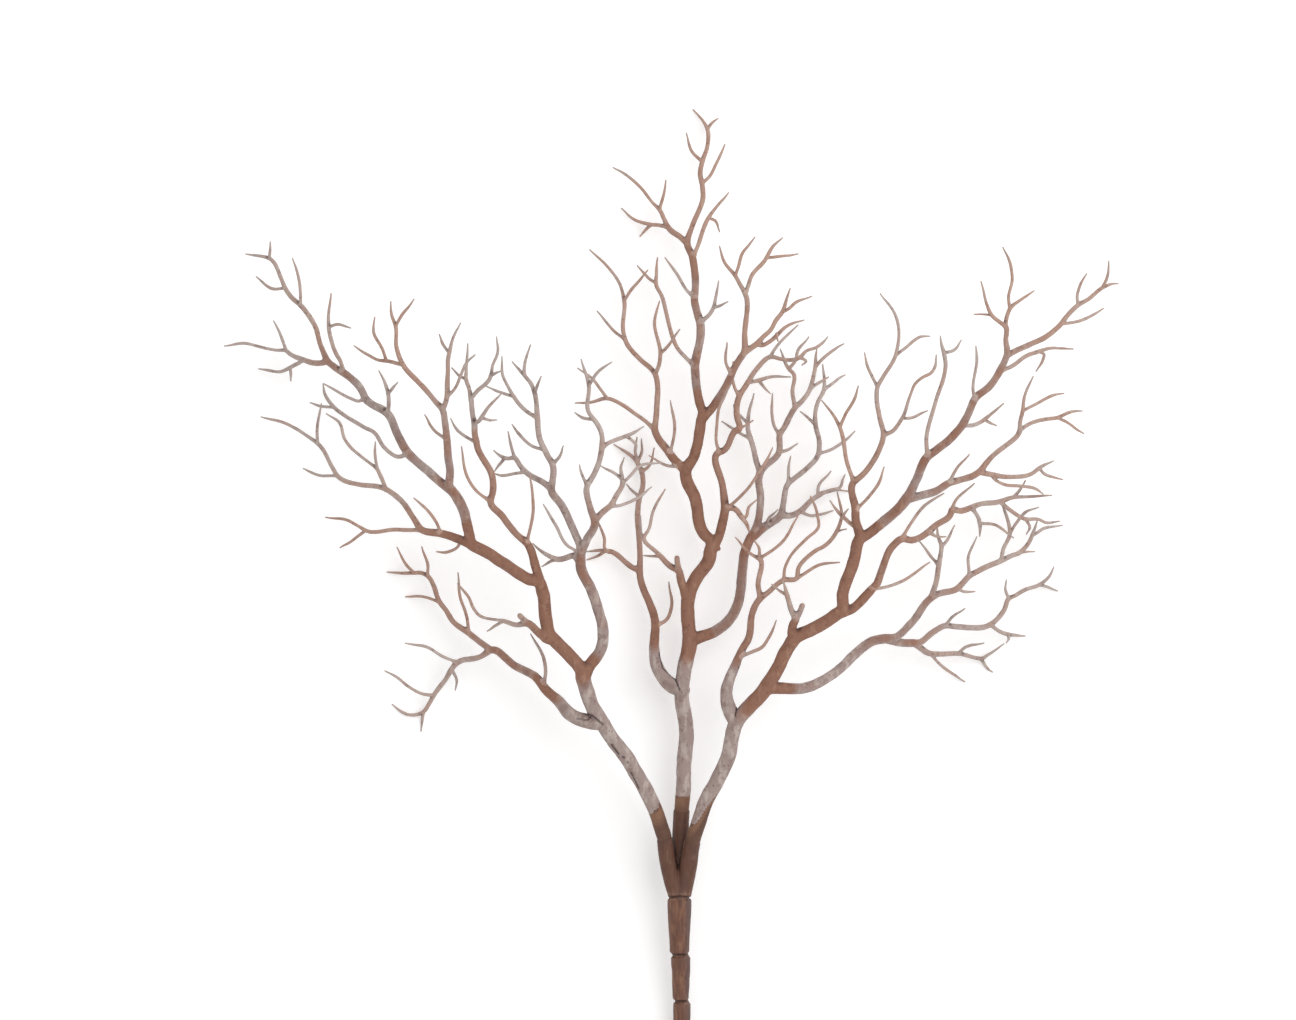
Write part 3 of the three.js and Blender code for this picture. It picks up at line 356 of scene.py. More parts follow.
# Left stalk and the side spray plugged into it. Each stalk is one flexible moulding that forks
# again and again, so a limb is as thick as the twigs beyond it need. Each limb here is the
# height of its far end and then the x, y of the points along it, from the nearest limb before.
LEFT_STALK = [
    ("left_stalk", 20, [[24, -5.6,98.4, -9,109, -13.5,118], [31, -20,128, -27,138, -31,144],
        [36, -33.5,151.5, -35,158], [38, -40,164, -46.5,171, -48,177],
        [42, -49,186, -50.5,190.5]]),
    ("left_stub", "left_stalk", [[43, -47.5,169.5, -51,172, -55,175.5, -57.5,178],
        [33, -58.5,174.8, -65.5,176.3, -72.5,178.6], [26, -74.5,181, -76,184.6, -80,189.5],
        [28, -65.5,174.8, -69.3,172.4]]),
    ("left_low", "left_stalk", [[42, -33,159.5, -28.8,165.4, -27.7,169.2, -27.7,173, -29.7,180.7],
        [49, -32.2,188.3, -35.6,196.4, -36,202.8], [42, -38,199.6, -40,199, -45,198.3],
        [44, -48,199.8, -52.8,204], [34, -47.3,197.2, -49.6,195.7],
        [60, -37.8,201.2, -40,202.8, -44.7,211, -49,218]]),
    ("left_low_left", "left_low", [[52, -37.3,207, -40,212.6, -42.6,218, -46,223.3],
        [50, -45.6,226.7, -45.6,232.6], [48, -47.3,235.2, -50.2,241.6, -51,249],
        [46, -51.5,253.7, -52.2,258], [44, -54,262.2, -55.6,264], [42, -55.8,268, -53.7,275.4],
        [38, -57.5,266, -60.3,269.4], [56, -43.4,234.8, -41.9,239],
        [40, -52.8,239, -58,243.7, -60.3,246.8], [40, -53.7,250.7, -59.2,256.6],
        [36, -61.3,260, -63.5,264.3, -64,271.2], [32, -64,258, -70,260.7],
        [52, -51,261, -49.8,264]]),
    ("left_low_side", "left_low_left", [[44, -48.5,225.4, -55,229.7],
        [38, -57.5,232.2, -59.4,234.8], [32, -60.5,238.2, -61.8,244.2],
        [37, -59.2,229.2, -63.5,228.6, -67,229.2], [34, -61.8,234.6, -63,234.8],
        [30, -65.2,236, -67,237.5], [28, -64.8,232.2, -66.7,230]]),
    ("left_low_right", "left_low", [[56, -33.5,205.3, -30.6,212], [60, -31.8,216.4, -33.3,225],
        [62, -31.5,228, -28,238.2], [64, -28,241.6, -30,247.3, -32.2,250.5],
        [67, -32.8,260.5, -35.4,270], [66, -35,228.4, -36,232.2], [59, -25.8,240, -19.4,242.5],
        [57, -16.4,243.8, -13,246], [53, -17.3,241, -16,239.5, -15.8,236.5],
        [58, -34.7,249.2, -37.7,251], [72, -29.2,265.6, -24.5,269], [55, -27.5,215.6, -25,217.5],
        [52, -22.8,221.5, -20.7,225.4], [46, -18,228.4, -15,231.4, -6.6,233],
        [46, -22,217.3, -15.5,220.3, -10.2,224.3], [60, -21,231, -20,234.8],
        [57, -22.4,228.4, -29,232.2]]),
    ("left_bough", "left_stalk", [[46, -53.7,191.2, -63.5,197.2, -73.3,202.8],
        [42, -78.4,205.3, -86,207.5, -93,208.9], [32, -81,202, -84,201, -87.6,201],
        [54, -87.4,211.7, -90,215.2, -95.5,220.3], [30, -100.6,208.8, -113,208.8],
        [20, -115.7,210.2, -119.5,212.2, -127.6,213.4], [16, -115,207, -122.5,202.4]]),
    ("left_bough_out", "left_bough", [[42, -95.5,212.6, -99.7,219, -105.8,223.7],
        [33, -115.7,225.2, -123.3,228.4], [27, -125,231, -130.4,240],
        [12, -135.3,243.4, -144,248, -151,249.6], [18, -127.6,228.2, -135.7,231],
        [34, -130.6,244.3, -129,254.3], [46, -107.6,228.8, -108.8,231],
        [40, -111.4,233, -118.6,238.6], [36, -120.4,241.2, -123,247.7, -127.2,250.7],
        [56, -109.5,235.2, -109.3,240.5]]),
    ("left_riser", "left_bough", [[56, -75.8,208, -78.4,217.3, -83,224],
        [63, -82.7,231, -83.5,239.5], [68, -84.6,248.5, -85,252], [71, -83.5,256.6],
        [74, -83,265, -83,270.7], [76, -81.8,275.8, -78.6,283], [66, -84.8,275.4, -86.3,279],
        [79, -81,258.8, -78.4,264.3], [84, -76.3,268.6, -73.3,271.6],
        [56, -87,243.8, -91.6,250.2]]),
    ("left_riser_out", "left_riser", [[64, -87.8,255, -94.6,262.6, -99.3,268.2],
        [66, -102,274.6, -102,281.8], [64, -103.4,285.7, -103.7,290.8],
        [72, -99.7,285.7, -95.3,291.6], [56, -101.8,268.6, -105.4,269.7],
        [50, -108.8,270.3, -112.2,272, -117,275], [60, -106.7,273.3, -110,280, -109.5,285.2]]),
    ("left_leader", "left_riser", [[52, -85.7,225.8, -92.5,231.8, -97.6,236.5],
        [48, -101.4,243.3, -105,250.5], [42, -110.5,254, -113,256.2],
        [42, -100.6,235.2, -106.3,238.6, -110.3,244.2], [30, -114,246, -120.4,250, -124.4,253],
        [24, -127.8,258.8, -128.5,261.5], [18, -129,253.4, -133.2,254.7],
        [56, -104.6,254, -104.6,258], [60, -105.8,261.8, -108,266],
        [62, -102.5,260.3, -101.2,261.8], [36, -115.5,255.2, -118.2,256.2, -128.2,261.5]]),
    ("left_leader_out", "left_leader", [[37, -114.4,258.8, -120.4,265.2],
        [32, -124.2,267.3, -126.8,269.4], [27, -129.3,275.4, -131,281.4, -136.6,289.3],
        [22, -139,291.6, -142,296], [15, -143.4,299.3, -148,306.4],
        [9, -151.5,307.7, -156.6,308.4], [18, -147.8,309.5, -147.6,312.7],
        [9, -147.2,296, -152.8,300.2], [34, -136.6,293.3, -137,297.6, -139.4,306.6],
        [45, -122,269, -123.8,272.4, -126,281.8], [49, -126.3,285.7, -125.3,293.8],
        [54, -123.3,282.7, -118.2,281.4]]),
    ("left_leader_arm", "left_leader_out", [[25, -129,269, -135.3,270],
        [17, -140.4,272.4, -142,273.7], [8, -145.5,273.7, -157.5,276, -164.3,275.2],
        [20, -143.4,277.5, -146.4,284.2], [11, -138.7,268.4, -140.4,267.7],
        [3, -144.7,266, -148,266.2, -152,267], [2, -140.5,265.2, -140.4,262.6]]),
    ("left_inner", "left_stalk", [[48, -51.5,194.7, -55,204.5],
        [57, -58,206.6, -64,214, -68.2,219.4], [63, -67.5,222.4, -67.6,228.4, -72.6,238.2],
        [66, -54,208.3, -52.6,217.3, -53.8,228.2], [60, -70.7,221, -76.7,228.8, -78.4,238.8]]),
    ("left_inner_top", "left_inner", [[68, -72.9,240.5, -73.7,244.2, -73.9,246.8],
        [61, -75,241.2, -80,244.6, -82.2,248.8], [72, -74.6,250.2, -75,256],
        [73, -75.6,259.6, -76.7,263], [75, -76.5,266.5, -76,275.6], [76, -72,248, -71,249],
        [80, -68.6,252.4, -63.7,258], [70, -69,248.5, -65.6,248.3], [80, -72.4,258.8, -68,264],
        [85, -67.3,267.7, -65.6,272, -65.6,278], [88, -66,264.8, -64,265.8],
        [67, -78.4,263.7, -81.8,267]]),
]
LEFT_SIDE = [
    ("left_side", "left_stalk", [[25, -33,140, -38.6,142, -43.7,147.5, -48.2,151.7],
        [19, -51.6,155.6, -58.8,159.8, -67.8,165.4], [30, -48.4,158, -49,162.4, -53.7,171.4],
        [11, -71.6,163.3, -80,161], [6, -82.3,158.6, -84.4,155.2, -88.7,149.2],
        [2, -90.4,146.2, -92.5,143.2], [0, -97.2,142, -100.2,143, -103.8,145.8],
        [14, -83.5,162.4, -91.7,166.7, -99,168], [4, -80.6,155, -81,151],
        [10, -91.2,149.4, -98,152.4, -102,155.6, -106.4,158], [0, -93,140.6, -93.4,136.2]]),
    ("left_side_out", "left_side", [[14, -73,169.2, -81,174.8], [10, -84.4,180, -86.5,182.7],
        [7, -89,189, -91,192], [12, -76.3,173.5, -77.4,179.5, -79,184, -80,193.4],
        [0, -92.5,184.6, -99,184.7], [18, -91,196, -93,202.8], [3, -94,193.3, -100,193],
        [0, -105.6,193.6], [9, -99,196.4, -102,202.6]]),
]
# Cracks and nicks seen from above: x, y at one end, x, y at the other, half the width
LEFT_CRACKS = [
    (-34.2, 142.9, -31.5, 142.1, 0.4), (-31.5, 142.1, -27.6, 138.8, 0.35),
    (-31.5, 142.1, -33.3, 140.3, 0.3), (-33.3, 140.3, -37.2, 141, 0.2),
    (-24.5, 131.5, -22, 128.2, 0.35), (-20.5, 127.2, -19.9, 126.8, 0.35),
    (-18.9, 125.3, -18.6, 125, 0.3), (-17.5, 121.5, -14.8, 115.8, 0.3),
]
# A limb's radius: LIMB by the number of twig tips beyond it to the power SPREAD, to STOUTEST at
# most. A side limb and a plugged-in spray start stouter by these shares, over these lengths.
TIP = 0.42
PEG = 1.05
LIMB, SPREAD, STOUTEST = 0.58, 0.38, 2.75
FORK_SWELL, FORK_RUN = 0.5, 25
PLUG_SWELL, PLUG_RUN = 0.5, 45
# Limbs sway a little off their lines by noise, which starts from the clock unless it is seeded
SWAY_SEED = 5
noise.seed_set(SWAY_SEED)

# How heavily each limb is dusted with grey, from 0, bare brown, to 1
COATS = {
    "left_stalk": 0.15, "left_low": 0.75, "left_low_left": 0.9, "left_low_right": 0.85,
    "left_low_side": 0.8, "left_bough": 0.15, "left_bough_out": 0.6, "left_riser": 0.6,
    "left_riser_out": 0.2, "left_leader": 0.95, "left_leader_out": 0.55, "left_leader_arm": 0.75,
    "left_inner": 0.15, "left_inner_top": 0.75, "left_side": 0.6, "left_side_out": 0.3,
    "centre_stalk": 0.15, "centre_side": 0.2, "centre_side_top": 0.4, "centre_low": 0.7,
    "centre_low_riser": 0.85, "centre_low_crown": 0.6, "centre_low_arm": 0.9,
    "centre_low_arm_out": 0.8, "centre_bough": 0.08, "centre_leader": 0.75,
    "centre_leader_left": 0.45, "centre_leader_top": 0.2, "centre_leader_fan": 0.35,
    "centre_arm": 0.45, "centre_arm_right": 0.05, "centre_arm_top": 0.0, "centre_left": 0.35,
    "centre_right": 0.1, "centre_right_top": 0.5, "right_stalk": 0.12, "right_side": 0.25,
    "right_side_top": 0.0, "right_low": 0.8, "right_low_riser": 0.75, "right_low_mid": 0.7,
    "right_low_out": 0.8, "right_low_tips": 0.7, "right_inner": 0.0, "right_inner_mid": 0.55,
    "right_inner_arm": 0.45, "right_main": 0.7, "right_main_out": 0.6, "right_main_top": 0.35,
    "right_main_leader": 0.4, "right_main_low": 0.5, "right_main_low_tips": 0.45,
    "right_outer": 0.35, "right_outer_out": 0.65,
}


class Knot:
    """A point of a limb: its place, the knot it grows from and those that grow from it."""

    def __init__(self, place, up, family):
        self.place = Vector(place)
        self.up = up
        self.kids = []
        self.family = family
        self.along = 0.0 if up is None else up.along + (self.place - up.place).length
        self.tips = 0
        self.radius = 0.0
        self.peg = False
        self.coat = COATS.get(family, 0.45)
        if up is not None:
            up.kids.append(self)


def take_off(knots, x, y):
    """Where a limb towards (x, y) leaves the knots: a little back along the nearest stretch."""
    best = None
    for knot in knots:
        if knot.up is None:
            continue
        start, end = knot.up.place.xy, knot.place.xy
        run = end - start
        length = max(run.length, 1e-6)
        along = min(max((Vector((x, y)) - start).dot(run) / length, 0), length)
        away = (start + run * (along / length) - Vector((x, y))).length
        if best is None or away < best[1] - 1e-6:
            best = (knot, away, along, length)
    knot, away, along, length = best
    if along > length - 0.05 and not knot.kids:
        return knot
    back = along - 0.9 * away
    if back < 0.8:
        return knot.up
    if back > length - 0.8:
        return knot
    middle = Knot(knot.up.place.lerp(knot.place, back / length), knot.up, knot.family)
    middle.peg = knot.peg
    knot.up.kids.remove(knot)
    knot.up = middle
    middle.kids.append(knot)
    knots.append(middle)
    return middle


def grow(sections, grown):
    """Adds the knots of each section's limbs to those grown so far, by the section's name."""
    for name, start, limbs in sections:
        knots = []
        for number, limb in enumerate(limbs):
            height, places = limb[0], [Vector(xy) for xy in zip(limb[1::2], limb[2::2])]
            if number == 0 and isinstance(start, (int, float)):
                knot = Knot((*places[0], start), None, name)
                knots.append(knot)
                places = places[1:]
            elif number == 0:
                knot = take_off(grown[start], *places[0])
            else:
                knot = take_off(knots, *places[0])
            marks, last = [0.0], knot.place.xy
            for place in places:
                marks.append(marks[-1] + (place - last).length)
                last = place
            low = knot.place.z
            for place, mark in zip(places, marks[1:]):
                z = low + (height - low) * mark / marks[-1]
                knot = Knot((*place, z), knot, name)
                knot.peg = number == 0 and name.endswith("_stub")
                knots.append(knot)
        grown[name] = knots
    return grown


def size_up(knot):
    """Counts the tips beyond each knot and sets the limb's radius from them."""
    knot.tips = sum(size_up(kid) for kid in knot.kids) or 1
    knot.radius = min(LIMB * knot.tips**SPREAD, STOUTEST) if knot.kids else TIP
    if knot.peg:
        knot.radius = PEG
    return knot.tips


def swell_forks(knot):
    """A side limb starts out stouter than it goes on."""
    for i, kid in enumerate(sorted(knot.kids, key=lambda k: -k.tips)):
        extra, far = FORK_SWELL * (knot.radius - kid.radius), kid
        while i > 0 and kid.tips > 2 and far.kids and far.along - knot.along < FORK_RUN:
            far.radius += extra * (1 - (far.along - knot.along) / FORK_RUN)
            far = max(far.kids, key=lambda k: k.tips)
        swell_forks(kid)


def swell_plug(knot, start, family):
    """A plugged-in side spray is stoutest at its plug."""
    if knot.kids:
        knot.radius *= 1 + PLUG_SWELL * max(0, 1 - (knot.along - start) / PLUG_RUN)
    for kid in knot.kids:
        if kid.family in family:
            swell_plug(kid, start, family)


def runs_of(first, family):
    """The knots in runs: a run follows the limb with most tips, and side limbs start new runs."""
    waiting, runs = [(None, first)], []
    while waiting:
        root, knot = waiting.pop()
        run = [root] if root else []
        while knot is not None:
            run.append(knot)
            kids = sorted((k for k in knot.kids if k.family in family), key=lambda k: -k.tips)
            waiting.extend((knot, kid) for kid in kids[1:])
            knot = kids[0] if kids else None
        runs.append(run)
    return runs


def limb_line(run, seed):
    """A run as smooth points and radii, flared where it leaves a thicker limb."""
    own = run[1].radius
    flared = len(run[0].kids) > 1 and run[0] is not run[1].up.up and run[0].radius > own * 1.02
    knots = [(*knot.place, max(knot.radius, TIP)) for knot in run]
    if flared:
        knots[0] = (*run[0].place, own)
    points, radii = rounded_run(knots, 0.9 if own < 1 else 1.1)
    walked = np.concatenate([[0], np.cumsum(np.linalg.norm(np.diff(points, axis=0), axis=1))])
    if flared:
        reach = 1.2 + 1.3 * own + run[0].radius * 0.8
        swell = np.clip(1 - walked / reach, 0, 1) ** 2
        radii = radii + swell * min(run[0].radius * 0.92 - own, own * 0.9)
    for i, point in enumerate(points):
        free = min(walked[i] / 6, (walked[-1] - walked[i]) / 4, 1)
        sway = noise.noise_vector(Vector((seed * 7.3, walked[i] * 0.11, 2.1)))
        points[i] = point + np.array(sway) * 0.5 * free
        radii[i] *= 1 + 0.04 * noise.noise(Vector((seed * 3.1, walked[i] * 0.4, 0.4)))
    if not run[-1].peg:
        radii *= 0.6 + 0.4 * np.clip((walked[-1] - walked) / 4.5, 0, 1)
    points[:, 2] = np.maximum(points[:, 2], radii + 0.02)
    return points, radii, walked


def axils_of(run):
    """The sharp inner corners where limbs part along a run, where painted shade goes: (place,
    size).
    """
    corners = []
    for knot in run:
        for a, b in itertools.combinations(sorted(knot.kids, key=lambda k: -k.tips)[:3], 2):
            towards_a = (a.place - knot.place).normalized()
            towards_b = (b.place - knot.place).normalized()
            between = (towards_a + towards_b).normalized()
            spread = max(towards_a.angle(towards_b) / 2, 0.2)
            reach = min((a.radius + b.radius) / 2 / math.sin(spread) * 1.3, 5)
            corners.append((knot.place + between * reach, 0.6 + 0.5 * min(a.radius, b.radius)))
    return corners


def search_tree(places):
    """A tree that finds the nearest of the places."""
    tree = kdtree.KDTree(len(places))
    for i, place in enumerate(places):
        tree.insert(place, i)
    tree.balance()
    return tree


def make_stalk(name, first, family, grey_until, bare, cracks, knobs):
    """One moulding: thick limbs melted together, twigs set into them, and marks for its paint and
    its painted shade.
    """
    thick, thin, samples, forks, corners = [], [], [], [], []
    for seed, run in enumerate(runs_of(first, family)):
        if len(run) < 2:
            continue
        points, radii, walked = limb_line(run, seed)
        start = run[0].along
        total = walked[-1]
        forks.extend((k.place, k.radius) for k in run if len(k.kids) > 1)
        corners.extend(axils_of(run[1:]))
        coats = np.interp(start + walked - 7, [k.along for k in run], [k.coat for k in run])
        for p, r, w, c in zip(points, radii, walked, coats):
            samples.append((*p, r, start + w, total - w if not run[-1].peg else 20.0, c))
        heavy = radii > 0.92
        if heavy[:6].any():
            stop = len(points) if heavy.all() else int(np.argmin(heavy)) + 1
            stop = max(stop, min(4, len(points)))
            core = rounded_ends(points[:stop], radii[:stop], start=run[0] is first)
            thick.append(sweep(*core, 14))
            if stop < len(points):
                rest = rounded_ends(points[max(stop - 3, 0):], radii[max(stop - 3, 0):])
                thin.append(sweep(*rest, 8))
        else:
            thin.append(sweep(*rounded_ends(points, radii), 8))
            reach = int(np.argmax(walked > run[0].radius + 1.4)) or len(points)
            if reach > 2:
                thick.append(sweep(points[:reach], np.linspace(1.15, 0.5, reach) * radii[0], 10))
    samples = np.array(samples)
    for start, end, size in knobs:
        thick.append(sweep(*rounded_ends([np.array(start), np.array(end)], [size, size * 0.8]), 12))
    skin, quads = fused(*gathered(thick), 0.4, 2)
    verts, faces = gathered([(skin, quads)] + thin)
    axis = search_tree(samples[:, :3])
    nearest = np.array([axis.find(v)[1] for v in verts])
    girth, along, tip = samples[nearest, 3], samples[nearest, 4], samples[nearest, 5]
    out = verts - samples[nearest, :3]
    out /= np.maximum(np.linalg.norm(out, axis=1), 1e-6)[:, None]
    change = np.clip((along - grey_until + 9) / 18, 0, 1)
    coat = 1.3 + (samples[nearest, 6] - 1.3) * change * change * (3 - 2 * change)
    coat = coat + 0.45 * (0.6 - out[:, 2]) * (girth > 0.7)
    lumps = np.array([noise.noise(Vector(v) * 0.3) * 0.1 + noise.noise(Vector(v) * 1.0) * 0.04
                      for v in verts])
    verts = verts + out * (lumps * np.clip(girth / 1.6, 0.25, 1.2))[:, None]
    verts[:, 2] = np.maximum(verts[:, 2], 0.02)
    fork_tree = search_tree([place for place, _ in forks])
    corner_tree = search_tree([place for place, _ in corners])
    fork = np.empty(len(verts))
    # How deep each point lies in the inner corner of a fork, for painted shade there.
    axil_shade = np.empty(len(verts))
    for i, v in enumerate(verts):
        _, number, distance = fork_tree.find(v)
        fork[i] = max(0, 1 - distance / (5 + 3 * forks[number][1]))
        _, number, distance = corner_tree.find(v)
        axil_shade[i] = max(0, 1.3 - distance / corners[number][1])
    crack = np.zeros(len(verts))
    for x0, y0, x1, y1, width in cracks:
        start, run = np.array((x0, y0)), np.array((x1 - x0, y1 - y0))
        t = np.clip((verts[:, :2] - start) @ run / run.dot(run), 0, 1)
        distance = np.linalg.norm(verts[:, :2] - start - t[:, None] * run, axis=1)
        crack = np.maximum(crack, np.clip(1.4 - distance / width, 0, 1) * (out[:, 2] > 0))
    piece = make_piece(name, verts, faces)
    set_mark(piece, "girth", girth)
    set_mark(piece, "coat", coat)
    side = (verts - samples[nearest, :3])[:, 0]
    paint_end = bare[0] + bare[1] * np.maximum(side / 2.2 + 1, 0)**2
    set_mark(piece, "foot", (paint_end - along) / 10)
    set_mark(piece, "tip", np.clip(1 - tip / 9, 0, 1))
    set_mark(piece, "fork", fork)
    set_mark(piece, "axil_shade", np.clip(axil_shade, 0, 1))
    set_mark(piece, "crack", crack)
    return piece


def coral_paint():
    """Brown plastic with lilac-grey paint brushed over it, worn to red-brown at the forks, with
    painted shade in their inner corners.
    """
    material, start, surface = new_finish("coral paint")
    patches = start.clouds(60.0)
    blots = start.clouds(240.0)
    streaks = start.clouds(420.0, 4.0, 0.6, (1.0, 0.35, 1.0))
    specks = start.clouds(950.0, 2.0, 0.5)
    grain = start.clouds(2400.0)
    girth = start.mark("girth")
    fork = start.mark("fork") * girth.rise(0.9, 2.0)
    coat = (start.mark("coat") + (patches - 0.5) * 1.2 - fork * 0.4).rise(0.2, 0.8)
    slim = (1.9 - girth).rise(0.2, 1.2)
    colour = start.colour(144, 103, 84).over(shade(182, 149, 134), slim)
    colour = colour.over(start.colour(122, 84, 68).over(shade(164, 124, 104), slim),
                         blots.rise(0.53, 0.66) * 0.6)
    colour = colour.over(start.colour(166, 128, 108).over(shade(198, 172, 156), slim),
                         streaks.rise(0.53, 0.68) * 0.6)
    grey = start.colour(162, 144, 139).over(shade(184, 168, 161), slim)
    grey = grey.over(shade(194, 182, 174), streaks.rise(0.48, 0.64) * 0.75)
    grey = grey.over(shade(136, 114, 109), blots.rise(0.54, 0.69) * 0.65)
    colour = colour.over(grey, coat * 0.92)
    colour = colour.over(shade(104, 78, 72), specks.rise(0.61, 0.7) * 0.55)
    colour = colour.over(shade(176, 164, 156), start.mark("tip") * patches.rise(0.42, 0.58) * 0.5)
    # Painted shade: dark brown in the inner corners where limbs part.
    colour = colour.over(shade(78, 54, 50), start.mark("axil_shade") * 0.8)
    bareness = start.mark("foot") + (streaks - 0.5) * 0.25
    foot = bareness.rise(-0.02, 0.02)
    rust = start.colour(133, 98, 77).over(shade(98, 70, 57), start.mark("foot").rise(0.15, 0.7))
    rust = rust.over(shade(112, 76, 60), blots.rise(0.5, 0.65) * 0.6)
    colour = colour.over(rust, foot)
    paint_edge = 1 - bareness.maths("ABSOLUTE", bareness).rise(0.01, 0.045)
    colour = colour.over(shade(86, 60, 52), paint_edge * 0.75)
    colour = colour.over(shade(54, 38, 40), start.mark("crack") * 0.9)
    put(colour, surface, "Base Color")
    put(grain * 0.3 + 0.55, surface, "Roughness")
    surface.inputs["Specular IOR Level"].default_value = 0.35
    bump = start.node("ShaderNodeBump", {}, {"Strength": 0.45, "Distance": 0.00018,
                                             "Height": specks + grain * 0.6})
    put(bump, surface, "Normal")
    return material


def stalk_with_side(sections, side_sections, side, grey_until, bare, side_grey, cracks, knobs=()):
    """A stalk and the spray plugged into it. Solid grey ends at grey_until along the stalk and
    side_grey beyond the plug, and bare is the paint's first edge and how far it slants."""
    grown = grow(sections, {})
    own = set(grown)
    grow(side_sections, grown)
    family = set(grown) - own
    first = grown[sections[0][0]][0]
    size_up(first)
    swell_forks(first)
    joint = grown[side_sections[0][0]][0].up
    while joint.family in family:
        joint = joint.up
    for kid in joint.kids:
        if kid.family in family:
            swell_plug(kid, joint.along, family)
    stalk = make_stalk(side + "_stalk", first, own, grey_until, bare, cracks, knobs)
    spray = make_stalk(side + "_side_spray", joint, family, joint.along + side_grey, (-9, 0),
                       cracks, [])
    for piece, names in ((stalk, own), (spray, family)):
        piece.data.materials.append(PAINT)
        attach(piece, "root")
        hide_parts(*sorted(names))


PAINT = coral_paint()
stalk_with_side(LEFT_STALK, LEFT_SIDE, "left", 66, (9.5, 0.5), 14, LEFT_CRACKS)

